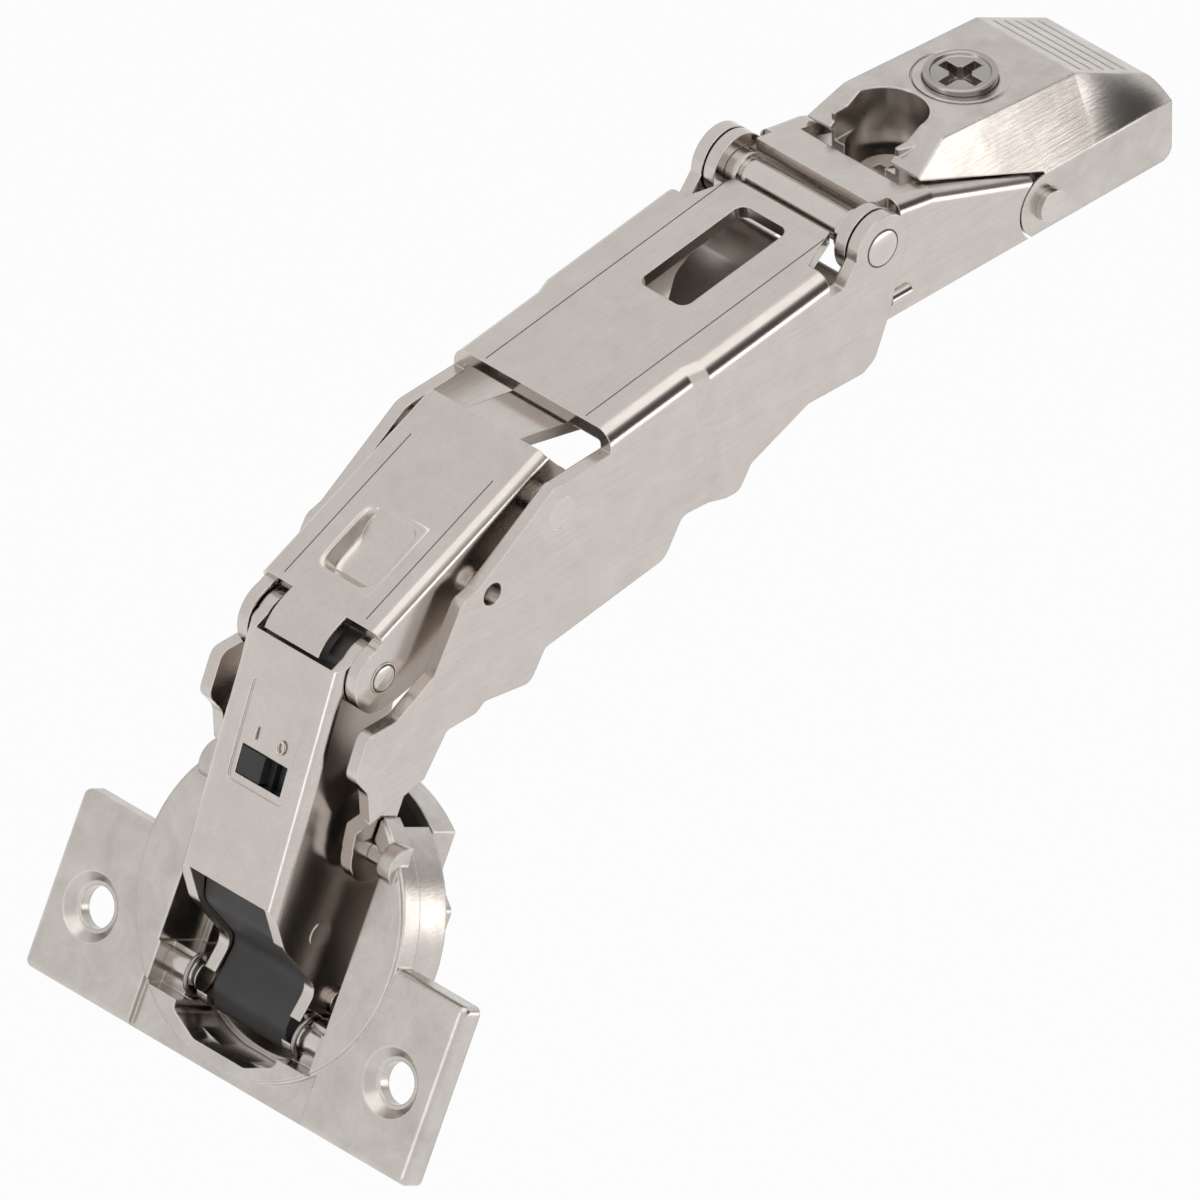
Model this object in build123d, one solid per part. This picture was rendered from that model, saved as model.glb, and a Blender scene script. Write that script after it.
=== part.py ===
from build123d import *
import math
import os

# Concealed cup hinge, fully open, in millimetres.
# The origin is on the axis of the depth screw, level with the bottom of the arm.
# X runs along the arm away from the door, Y runs along the pins, Z is up.
# The cabinet side lies below the arm, and the door faces the cup.

# Pivots in X and Z, with the hinge open
ARM_PIVOT = (-24.15, 11.4)
CONTROL_PIVOT = (-26.1, 1.6)
LEVER_PIVOT = (-71.37, 0.51)
LINK_PIVOT = (-81.7, -4.9)
ELBOW_PIVOT = (-95.1, -10.4)
CUP_LINK_PIVOT = (-105.5, -52.0)
CUP_LEVER_PIVOT = (-97.4, -31.1)
TILT_PIVOT = (2.7, 3.1)

# Sheet thicknesses and clearances
LEVER_SHEET = 1.55
ARM_SHEET = 1.5
INNER_SHEET = 1.5
DOOR_SHEET = 1.5
RUN = 0.05
SIDE_GAP = 0.3
SEAM = 0.3

# Outer half widths of the nested folds, from the outside in
LEVER_FRONT_HALF = 11.7
LEVER_REAR_HALF = LEVER_FRONT_HALF + 0.65
ARM_HALF = LEVER_REAR_HALF - LEVER_SHEET - SIDE_GAP
INNER_HALF = 8.85
DOOR_HALF = INNER_HALF - INNER_SHEET - 0.23
LEVER_EAR_HALF = 9.9

# Pins
ARM_PIN_R = 1.85
ARM_PIN_SHOULDER_R = 2.4
ARM_PIN_SHOULDER = 1.6
CONTROL_PIN_R = 1.6
LEVER_PIN_R = 1.9
LINK_PIN_R = 1.25
ELBOW_PIN_R = 1.8
CUP_LINK_PIN_R = 1.7
CUP_LEVER_PIN_R = 1.2

# Outer lever
LEVER_WEB_FRONT = (-64.1, 6.88)
LEVER_WEB_REAR = (-26.8, 12.21)
LEVER_BEND = 1.95
LEVER_BEND_END = -32.0
LEVER_NECK_HALF = 7.07
LEVER_JOGGLE = 12.1
LEVER_JOGGLE_LENGTH = 2.0
LEVER_EAR_R = 3.9
LEVER_CUP_EAR_R = 3.6
LEVER_TIP_LINE = ((-99.9, -25.5), (-91.9, -23.6))
LEVER_TIP_SLOPE = 1.9
WINDOW_START = 19.3
WINDOW_LENGTH = 15.9
WINDOW_HALF = 3.5
WINDOW_R = 1.2
ACCESS_HOLE_R = 1.33

# Inner lever
INNER_WEB_FRONT = (-95.23, -4.47)
INNER_SLOPE = 24.1
INNER_BEND = 1.25
INNER_DEPTH = 10.3
INNER_WEB_START = -0.5
INNER_WEB_END = 26.6
INNER_TONGUE = (-5.0, 3.2)
INNER_TONGUE_END = (-61.5, 4.6)
INNER_TAB_HALF = 4.0
INNER_TAB_ANGLE = 38
INNER_EAR_R = 4.1
POCKET_START = 3.0
POCKET_FLOOR_START = 4.9
POCKET_FLOOR_END = 8.9
POCKET_END = 12.2
POCKET_HALF = 3.75
POCKET_DEPTH = 2.7
POCKET_WALL = 0.9

# Door link
DOOR_WEB_TOP = (-99.6, -8.8)
DOOR_WEB_END = (-109.6, -34.7)
DOOR_BEND = 1.2
DOOR_EAR_R = 3.6
SWITCH_START = 12.4
SWITCH_LENGTH = 3.4
SWITCH_HALF = 3.35
SWITCH_FRAME_HALF = 4.1
SWITCH_FRAME_START = 5.0
SWITCH_FRAME_END = 16.7
SWITCH_FRAME_STEP = 0.25
SLIDER_TRAVEL = 3.0
SLIDER_PLATE = 0.8
DAMPER_GAP = 0.15
DAMPER_TOP = 9.0
DAMPER_BACK = 9.5
PLUNGER_R = 2.0
PLUNGER_INSET = 6.6
PLUNGER_LENGTH = 12.0
PLUNGER_OUT = 2.4
RIVET_R = 1.5
RIVET_PROUD = 0.9
UPPER_RIVET = (-102.9, -40.5)
LOWER_RIVET = (-100.7, -49.9)

# Control link
CONTROL_HUB_R = 3.9
CONTROL_HUB_HALF = 8.6
CONTROL_EYE_R = 3.2
CONTROL_EYE_END_R = 2.3
CONTROL_SLOT = (2.55, 1.0)
CONTROL_SLOT_PLAY = 0.3
CONTROL_NECK = (-7.0, -5.2)

# Cup
CUP_ORIGIN = (-107.68, -49.5)
CUP_TILT = 63.02
FLANGE_HALF = 28.7
FLANGE_LOW = -9.4
FLANGE_HIGH = 11.3
FLANGE_THICK = 2.6
FLANGE_CENTRE_STEP = 0.7
FLANGE_CENTRE_HALF = 12.9
FLANGE_EDGE = 0.9
SCREW_SPACING = 45.0
SCREW_HOLE_R = 2.35
SCREW_SINK_R = 3.85
SCREW_SINK_DEPTH = 1.1
CUP_CENTRE = 9.75
CUP_R = 17.5
CUP_RIM_R = 18.4
CUP_RIM_RISE = 0.3
CUP_SHOULDER = 8.0
CUP_DEEP_R = 16.7
CUP_DEEP_HALF = (12.8, 9.8)
CUP_DEEP_STEP = (15.5, 18.0)
CUP_DEPTH = 14.0
CUP_FLOOR = 1.4
CUP_WALL = 1.2
CUP_LOW_WALL = 0.8
CUP_INNER_HALF = 12.4
OPENING_LOW = -6.8
OPENING_CORNER = 3.8
OPENING_SIDE = -5.0
NOTCH_HALF = 10.15
NOTCH_START = 20.0
NOTCH_DEPTH = 9.5
LUG_TOP = 0.8
LUG_FRONT = 2.15
LUG_INNER = 7.6
LUG_OUTER = 12.1
CUP_BOSS_R = 2.3
CUP_BOSS_END = 14.3
SPRING_WIRE_R = 0.3
SPRING_COIL_R = 2.35
SPRING_TURNS = 1
SPRING_PITCH = 2 * SPRING_WIRE_R + RUN
spring_start = LUG_INNER
spring_end = spring_start + SPRING_TURNS * SPRING_PITCH + SPRING_WIRE_R

# Arm
ARM_WEB_FRONT = (-22.0, 14.3)
ARM_WEB_MIDDLE = (-14.4, 13.0)
ARM_WEB_REAR = (2.2, 7.1)
ARM_BEND = 1.5
ARM_TONGUE_HALF = 8.6
ARM_SHOULDER = -19.6
ARM_EAR_R = 3.9
ARM_CONTROL_EAR_R = 3.3
ARM_OPENING_START = -16.6
ARM_OPENING_HALF = 7.4
ARM_TAIL_INNER = 7.4
TAIL_FRONT = -7.9
TILT_EAR_R = 4.0
TILT_RIVET_R = 1.9
TILT_RIVET_PROUD = 0.9
DIMPLE = (-19.9, 2.5)
DIMPLE_LENGTH = 3.0
DIMPLE_R = 0.75

# Housing
HOUSING_CREASE = 7.2
HOUSING_TOP_HALF = 7.3
HOUSING_WALL = 1.5
HOUSING_REAR = 21.4
HOUSING_MIDDLE = 9.8
HOUSING_FOOT = -14.4
HOUSING_FRONT = -10.0
HOUSING_TOP_FRONT = 16.3
HOUSING_TOP_MIDDLE = 14.9
HOUSING_TOP_REAR = 9.2
HOUSING_REAR_BEND = 2.2
GRIP_GROOVES = 5
GRIP_PITCH = 1.9
GRIP_WIDTH = 0.5
GRIP_DEPTH = 0.35
SCREW_POCKET = (-10.5, 0.5)
SCREW_POCKET_R = 4.5
SCREW_POCKET_FLOOR = 6.2
SCREW_POCKET_BOTTOM = 5.1

# Screws
SIDE_HEAD_R = 3.3
SIDE_HEAD_HEIGHT = 2.0
SIDE_SHANK_R = 2.0
SIDE_SHANK_END = 0.6
SIDE_RECESS_HALF = 0.5
NUT_R = 2.3
NUT_AXIS = 2.4
DEPTH_HEAD_R = 4.05
DEPTH_HEAD_HEIGHT = 2.6
DEPTH_HEAD_TOP = 16.5
DEPTH_HEAD_EDGE = 0.5
DEPTH_SHANK_R = 2.5
DEPTH_RING_R = 5.45
DEPTH_RING_WIDTH = 0.3
DEPTH_BOSS_R = 4.6
DEPTH_BOSS_BOTTOM = 4.6
DEPTH_RECESS_ARM = 2.6
DEPTH_RECESS_HALF = 0.55
DEPTH_RECESS_DEPTH = 1.7
CAM_R = 4.4
CAM_OFFSET = 1.1
CAM_HEIGHT = 2.2

# Latch
LATCH_PIVOT = (15.6, 5.0)
LATCH_PIN_R = 1.25
LATCH_HUB_R = 2.5
LATCH_HALF = 6.0
LATCH_SPRING_COIL_R = 2.1
LATCH_SPRING_WIRE_R = 0.35
LATCH_SPRING_TURNS = 4


def outline(points):
    """A closed outline from corners (a, b) or (a, b, radius)."""
    corners = [(p[0], p[1]) for p in points]
    radii = [p[2] if len(p) > 2 else 0 for p in points]
    return make_face(FilletPolyline(*corners, radius=radii, close=True))


def slab(face, near, far):
    """An outline in X and Z, given thickness from Y near to Y far."""
    return extrude(Plane.XZ.offset(-far) * face, amount=far - near)


def pair(solid):
    """The same solid on both sides of the middle."""
    return solid + mirror(solid, Plane.XZ)


def disc(pivot, radius):
    """A round outline about a pivot."""
    return Pos(pivot[0], pivot[1]) * Circle(radius)


def pin(pivot, radius, near, far):
    """A pin along Y on a pivot."""
    return slab(disc(pivot, radius), near, far)


def bore(pivot, radius):
    """A hole along Y, right through, on a pivot."""
    return pin(pivot, radius, -FLANGE_HALF, FLANGE_HALF)


def direction(start, end):
    """The unit direction from one side-view point to another."""
    run, rise = end[0] - start[0], end[1] - start[1]
    length = math.hypot(run, rise)
    return (run / length, rise / length)


def web_plane(point, way, side=1):
    """A plane on a web: its X follows the web, its Z is the outer normal."""
    return Plane(origin=(point[0], 0, point[1]), x_dir=(way[0], 0, way[1]), z_dir=(-side * way[1], 0, side * way[0]))


def bent(half, top, radius, depth, start, end):
    """A bar with two rounded upper edges, along X, from start to end."""
    face = outline([(-half, top - depth), (-half, top, radius), (half, top, radius), (half, top - depth)])
    return extrude(Plane.YZ.offset(start) * face, amount=end - start)


def fold(half, sheet, radius, depth, start, end):
    """A channel folded from sheet, open below, with its outer face at Z = 0."""
    inside = bent(half - sheet, -sheet, max(radius - sheet, 0.2), depth, start - 1, end + 1)
    return bent(half, 0, radius, depth, start, end) - inside


def coil(radius, wire, turns, pitch):
    """A coil of round wire about Z, starting at Z = 0."""
    path = Helix(pitch=pitch, height=pitch * turns, radius=radius)
    return sweep(Plane(origin=path @ 0, z_dir=path % 0) * Circle(wire), path=path)


lever_way = direction(LEVER_WEB_FRONT, LEVER_WEB_REAR)
lever_plane = web_plane(LEVER_WEB_FRONT, lever_way)
inner_way = (math.cos(math.radians(INNER_SLOPE)), math.sin(math.radians(INNER_SLOPE)))
inner_plane = web_plane(INNER_WEB_FRONT, inner_way)
door_way = direction(DOOR_WEB_TOP, DOOR_WEB_END)
door_plane = web_plane(DOOR_WEB_TOP, door_way, side=-1)
door_length = math.dist(DOOR_WEB_TOP, DOOR_WEB_END)
control_way = direction(CONTROL_PIVOT, LINK_PIVOT)
control_span = math.dist(CONTROL_PIVOT, LINK_PIVOT)
cup_way = (math.cos(math.radians(CUP_TILT)), math.sin(math.radians(CUP_TILT)))
cup_plane = web_plane(CUP_ORIGIN, cup_way)


def to_part(plane, points):
    """Points of a plane's own X and Z, as side-view points of the part."""
    placed = []
    for p in points:
        at = plane.from_local_coords(Vector(p[0], 0, p[1]))
        placed.append((at.X, at.Z, *p[2:]))
    return placed


def from_part(plane, point):
    """A side-view point of the part in a plane's own X and Z."""
    at = plane.to_local_coords(Vector(point[0], 0, point[1]))
    return (at.X, at.Z)


def outer_lever():
    """The long folded lever, with joggled sides and a pair of ears at each end."""
    reach = 70
    joggle_end = LEVER_JOGGLE + LEVER_JOGGLE_LENGTH

    def stepped(inset, top, radius):
        def section(half, at):
            corners = [(-half, top - reach), (-half, top, radius), (half, top, radius), (half, top - reach)]
            return Plane.YZ.offset(at) * outline(corners)

        front, rear = LEVER_FRONT_HALF - inset, LEVER_REAR_HALF - inset
        body = extrude(section(front, -reach), amount=reach + LEVER_JOGGLE)
        body += loft([section(front, LEVER_JOGGLE), section(rear, joggle_end)], ruled=True)
        return body + extrude(section(rear, joggle_end), amount=reach)

    shell = stepped(0, 0, LEVER_BEND) - stepped(LEVER_SHEET, -LEVER_SHEET, LEVER_BEND - LEVER_SHEET)
    shell = lever_plane.location * shell

    blank = outline(
        [
            (LEVER_BEND_END, -3.2),
            (-35.25, -3.15, 2.0),
            (-43.8, -6.6, 1.0),
            (-45.6, -9.3, 1.5),
            (-53.4, -8.9, 1.5),
            (-56.1, -13.1, 2.0),
            (-73.9, -15.7, 1.0),
            (-76.1, -19.1, 1.5),
            (-82.9, -18.1, 1.0),
            (-84.2, -19.0, 0.8),
            (-88.5, -19.05, 1.0),
            LEVER_TIP_LINE[1],
            LEVER_TIP_LINE[0],
            (-100.1, -21.6, 3.0),
            (-102.1, -18.8, 1.5),
            (-100.1, -14.2, 1.5),
            (-95.8, -14.2, 2.0),
            (-90.3, -11.2, 1.0),
            (-86.1, -4.0, 1.5),
            (-83.9, -3.4, 1.0),
            (-72.6, 4.0, 2.0),
            (LEVER_WEB_FRONT[0], 4.4),
            (LEVER_WEB_FRONT[0], LEVER_WEB_FRONT[1] + 2),
            (LEVER_BEND_END, LEVER_WEB_REAR[1] + 2),
        ]
    )
    lever = shell & slab(blank, -LEVER_REAR_HALF, LEVER_REAR_HALF)

    # Rear ears on the arm pivot, with a relief slot beside the end of each bend
    rear_plate = outline(
        [
            (LEVER_BEND_END - 1, -3.2),
            (LEVER_BEND_END - 1, 9.0),
            (-30.0, 9.0, 0.4),
            (ARM_PIVOT[0] - LEVER_EAR_R, ARM_PIVOT[1]),
            (ARM_PIVOT[0] + LEVER_EAR_R, ARM_PIVOT[1]),
            (-23.4, 1.85, 1.5),
            (-25.25, -2.3, 2.0),
            (-27.05, -3.3, 1.0),
        ]
    )
    rear_ear = slab(rear_plate + disc(ARM_PIVOT, LEVER_EAR_R), LEVER_REAR_HALF - LEVER_SHEET, LEVER_REAR_HALF)
    lever += pair(rear_ear)

    # The web goes on past the bends as a neck that narrows towards the arm pin
    tongue = outline(
        [
            (LEVER_BEND_END - 1, -9.1),
            (LEVER_BEND_END, -9.1),
            (-28.8, -7.8),
            (LEVER_WEB_REAR[0], -LEVER_NECK_HALF),
            (LEVER_WEB_REAR[0], LEVER_NECK_HALF),
            (-28.8, 7.8),
            (LEVER_BEND_END, 9.1),
            (LEVER_BEND_END - 1, 9.1),
        ]
    )
    web = lever_plane.location * Pos(35, 0, -LEVER_SHEET / 2) * Box(60, 2 * LEVER_REAR_HALF, LEVER_SHEET)
    lever += web & Pos(0, 0, 0) * extrude(tongue, amount=20)

    # Front ears, joggled inwards below the tip line
    tip_way = direction(*LEVER_TIP_LINE)
    step = LEVER_FRONT_HALF - LEVER_EAR_HALF
    back = LEVER_SHEET * math.tan(math.atan2(step, LEVER_TIP_SLOPE) / 2)
    section = outline(
        [
            (-back, LEVER_FRONT_HALF - LEVER_SHEET),
            (0, LEVER_FRONT_HALF),
            (LEVER_TIP_SLOPE, LEVER_EAR_HALF),
            (reach, LEVER_EAR_HALF),
            (reach, LEVER_EAR_HALF - LEVER_SHEET),
            (LEVER_TIP_SLOPE - back, LEVER_EAR_HALF - LEVER_SHEET),
        ]
    )
    # Plane across the tip line: its X points down from the line and its Y is the part's Y
    tip_plane = Plane(
        origin=(LEVER_TIP_LINE[0][0], 0, LEVER_TIP_LINE[0][1]),
        x_dir=(tip_way[1], 0, -tip_way[0]),
        z_dir=(tip_way[0], 0, tip_way[1]),
    )
    band = extrude(tip_plane * section, amount=reach, both=True)
    left, right = LEVER_TIP_LINE
    ear = outline(
        [
            (right[0] + 0.35, right[1] + 0.8),
            (left[0], left[1] + 0.8),
            (left[0] - 0.1, left[1] - 1.2, 1.0),
            (CUP_LEVER_PIVOT[0] - LEVER_CUP_EAR_R, CUP_LEVER_PIVOT[1] + 1.0, 1.0),
            (CUP_LEVER_PIVOT[0], CUP_LEVER_PIVOT[1]),
            (CUP_LEVER_PIVOT[0] + 2.85, CUP_LEVER_PIVOT[1] + 2.05),
        ]
    )
    lever += pair(band & slab(ear + disc(CUP_LEVER_PIVOT, LEVER_CUP_EAR_R), 0, LEVER_FRONT_HALF))

    window = Pos(WINDOW_START + WINDOW_LENGTH / 2, 0, 0) * RectangleRounded(WINDOW_LENGTH, 2 * WINDOW_HALF, WINDOW_R)
    lever -= lever_plane.location * extrude(window, amount=2 * LEVER_SHEET, both=True)
    lever -= bore(ARM_PIVOT, ARM_PIN_R)
    lever -= bore(LEVER_PIVOT, LEVER_PIN_R)
    lever -= bore(LINK_PIVOT, ACCESS_HOLE_R)
    lever -= bore(CUP_LEVER_PIVOT, CUP_LEVER_PIN_R + RUN)
    return lever


def inner_lever():
    """The short folded lever, with its pressed pocket, curled tab and bent tongue."""
    elbow = from_part(inner_plane, ELBOW_PIVOT)
    pivot = from_part(inner_plane, LEVER_PIVOT)
    shell = fold(INNER_HALF, INNER_SHEET, INNER_BEND, 2 * INNER_DEPTH, -10, 40)
    blank = outline(
        [
            (INNER_WEB_START, 1),
            (INNER_WEB_END, 1),
            (INNER_WEB_END, -0.6),
            (pivot[0] + INNER_EAR_R, pivot[1]),
            (pivot[0], pivot[1] - INNER_EAR_R),
            (13.0, -INNER_DEPTH, 3.0),
            (1.5, -INNER_DEPTH, 1.5),
            (elbow[0], elbow[1] - INNER_EAR_R),
            (elbow[0] - INNER_EAR_R, elbow[1]),
            (elbow[0], elbow[1] + INNER_EAR_R - 0.2),
            (INNER_WEB_START, -1.4),
        ]
    )
    blank = blank + disc(elbow, INNER_EAR_R) + disc(pivot, INNER_EAR_R)
    lever = shell & slab(blank, -INNER_HALF, INNER_HALF)
    # Outside the web the ears are open above
    lever -= Pos(elbow[0] - 10 + INNER_WEB_START - elbow[0], 0, 0) * Box(20, 2 * (INNER_HALF - INNER_SHEET), 8)
    lever -= Pos(INNER_WEB_END + 10, 0, 0) * Box(20, 2 * (INNER_HALF - INNER_SHEET), 8)

    # The tab goes on over the elbow pin as an arc about it
    curl_outer = -elbow[1]
    curl = disc(elbow, curl_outer) - disc(elbow, curl_outer - INNER_SHEET)
    turn = math.radians(90 + INNER_TAB_ANGLE)
    wedge = outline(
        [
            elbow,
            (elbow[0], elbow[1] + 3 * curl_outer),
            (elbow[0] + 3 * curl_outer * math.cos(turn), elbow[1] + 3 * curl_outer * math.sin(turn)),
        ]
    )
    tab = (curl & wedge) + outline(
        [(elbow[0], 0), (INNER_WEB_START + 1, 0), (INNER_WEB_START + 1, -INNER_SHEET), (elbow[0], -INNER_SHEET)]
    )
    lever += slab(tab, -INNER_TAB_HALF, INNER_TAB_HALF)

    # The pressed pocket has a flat floor and a long ramp
    bowl = outline(
        [
            (POCKET_START - POCKET_WALL, -0.5),
            (POCKET_FLOOR_START - POCKET_WALL, -POCKET_DEPTH - INNER_SHEET),
            (POCKET_FLOOR_END + POCKET_WALL, -POCKET_DEPTH - INNER_SHEET),
            (POCKET_END + POCKET_WALL, -0.5),
        ]
    )
    hollow = outline(
        [
            (POCKET_START, 0.1),
            (POCKET_FLOOR_START, -POCKET_DEPTH),
            (POCKET_FLOOR_END, -POCKET_DEPTH),
            (POCKET_END, 0.1),
        ]
    )
    lever += slab(bowl, -POCKET_HALF - POCKET_WALL, POCKET_HALF + POCKET_WALL)
    lever -= slab(hollow, -POCKET_HALF, POCKET_HALF)
    lever = inner_plane.location * lever

    # The tongue dips below the web of the outer lever
    start, end = to_part(inner_plane, [(INNER_WEB_END - 1, 0), (INNER_WEB_END, 0)])
    under = to_part(inner_plane, [(INNER_WEB_END - 1, -INNER_SHEET), (INNER_WEB_END, -INNER_SHEET)])
    tip_top = INNER_TONGUE_END
    tip_under = (INNER_TONGUE_END[0] - 0.3, INNER_TONGUE_END[1] - INNER_SHEET)
    tongue = outline([start, end, tip_top, tip_under, under[1], under[0]])
    lever += slab(tongue, *INNER_TONGUE)
    lever -= bore(LEVER_PIVOT, LEVER_PIN_R + RUN)
    lever -= bore(LINK_PIVOT, LINK_PIN_R)
    lever -= bore(ELBOW_PIVOT, ELBOW_PIN_R)
    return lever


def door_link():
    """The folded link between the elbow pin and the cup, with the switch window in its web."""
    ear = outline(
        [
            DOOR_WEB_TOP,
            DOOR_WEB_END,
            (-108.2, -39.9, 2.5),
            (-103.3, -47.4, 2.0),
            (-107.1, -51.6, 2.0),
            (-107.2, -54.3, 1.5),
            (-103.2, -55.6, 3.0),
            (-99.4, -51.7, 2.0),
            (-96.2, -46.7, 1.5),
            (-91.9, -41.9, 1.5),
            (-93.6, -37.6, 1.5),
            (-94.6, -30.0, 3.0),
            (-94.6, -26.0, 3.0),
            (ELBOW_PIVOT[0] + DOOR_EAR_R, ELBOW_PIVOT[1] - 4),
            (ELBOW_PIVOT[0] + DOOR_EAR_R, ELBOW_PIVOT[1]),
            (ELBOW_PIVOT[0], ELBOW_PIVOT[1] + DOOR_EAR_R),
        ]
    )
    ears = pair(slab(ear + disc(ELBOW_PIVOT, DOOR_EAR_R), DOOR_HALF - DOOR_SHEET, DOOR_HALF))
    rounded = door_plane.location * bent(DOOR_HALF, 0, DOOR_BEND, 80, -20, 80)
    web = door_plane.location * fold(DOOR_HALF, DOOR_SHEET, DOOR_BEND, 2 * DOOR_SHEET, 0, door_length)
    link = (ears & rounded) + web
    window = Pos(SWITCH_START + SWITCH_LENGTH / 2, 0, 0) * Rectangle(SWITCH_LENGTH, 2 * SWITCH_HALF)
    link -= door_plane.location * extrude(window, amount=2 * DOOR_SHEET, both=True)
    # A shallow pressed frame round the window
    frame_length = SWITCH_FRAME_END - SWITCH_FRAME_START
    frame = Pos(SWITCH_FRAME_START + frame_length / 2, 0, -SWITCH_FRAME_STEP) * RectangleRounded(
        frame_length, 2 * SWITCH_FRAME_HALF, 0.8
    )
    link -= door_plane.location * extrude(frame, amount=1)
    link -= bore(ELBOW_PIVOT, ELBOW_PIN_R + RUN)
    link -= bore(CUP_LINK_PIVOT, CUP_LINK_PIN_R + RUN)
    link -= bore(UPPER_RIVET, RIVET_R)
    link -= bore(LOWER_RIVET, RIVET_R)
    return link


def damper_shape():
    """Side outline of the damper body, in X and Z."""
    inset = DOOR_SHEET + SLIDER_PLATE + 2 * DAMPER_GAP
    top_front, top_back = to_part(door_plane, [(DAMPER_TOP, -inset), (DAMPER_TOP, -DAMPER_BACK)])
    web_front = to_part(door_plane, [(door_length - 1, -inset)])[0]
    return outline(
        [
            top_front,
            web_front,
            (-107.5, -39.9, 2.5),
            (-102.6, -47.3, 2.0),
            (-106.4, -51.8, 2.0),
            (-106.2, -55.3, 2.0),
            (-102.5, -56.6, 2.5),
            (-99.0, -51.7, 2.0),
            (-96.0, -46.7, 1.5),
            (-93.2, -42.0, 1.5),
            (-94.8, -37.0, 1.5),
            (-95.2, -30.0),
            top_back,
        ]
    )


def plunger_at(start, end, radius):
    """A round bar inside the damper, along the door link."""
    along = web_plane(DOOR_WEB_TOP, door_way, side=-1)
    centre = along.from_local_coords(Vector(start, 0, -PLUNGER_INSET))
    return extrude(Plane(origin=centre, z_dir=(door_way[0], 0, door_way[1])) * Circle(radius), amount=end - start)


def damper_body():
    half = DOOR_HALF - DOOR_SHEET - DAMPER_GAP
    body = slab(damper_shape(), -half, half)
    body -= plunger_at(DAMPER_TOP - 1, DAMPER_TOP + PLUNGER_LENGTH, PLUNGER_R + 2 * RUN)
    body -= bore(UPPER_RIVET, RIVET_R)
    body -= bore(LOWER_RIVET, RIVET_R)
    return body


def damper_plunger():
    start = DAMPER_TOP - PLUNGER_OUT
    plunger = plunger_at(start, start + PLUNGER_LENGTH, PLUNGER_R)
    return plunger


def damper_rivets():
    upper = pin(UPPER_RIVET, RIVET_R, -DOOR_HALF - SEAM / 3, DOOR_HALF + SEAM / 3)
    lower = pin(LOWER_RIVET, RIVET_R, -DOOR_HALF - RIVET_PROUD, DOOR_HALF + RIVET_PROUD)
    return [upper, lower]


def switch_slider():
    """A thin plate behind the web, with a knob that stands in the window."""
    knob_half = SWITCH_HALF - SLIDER_TRAVEL / 2 - DAMPER_GAP
    shift = SWITCH_HALF - DAMPER_GAP - knob_half
    centre = SWITCH_START + SWITCH_LENGTH / 2
    plate = Box(SWITCH_LENGTH + 2, 2 * knob_half + 1.2, SLIDER_PLATE)
    plate = Pos(centre, -shift, -DOOR_SHEET - DAMPER_GAP - SLIDER_PLATE / 2) * plate
    rise = DOOR_SHEET + DAMPER_GAP
    knob = Pos(centre, -shift, -rise / 2 - SLIDER_PLATE / 2) * Box(
        SWITCH_LENGTH - 2 * DAMPER_GAP, 2 * knob_half, rise + SLIDER_PLATE / 2
    )
    return door_plane.location * (plate + knob)


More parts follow.
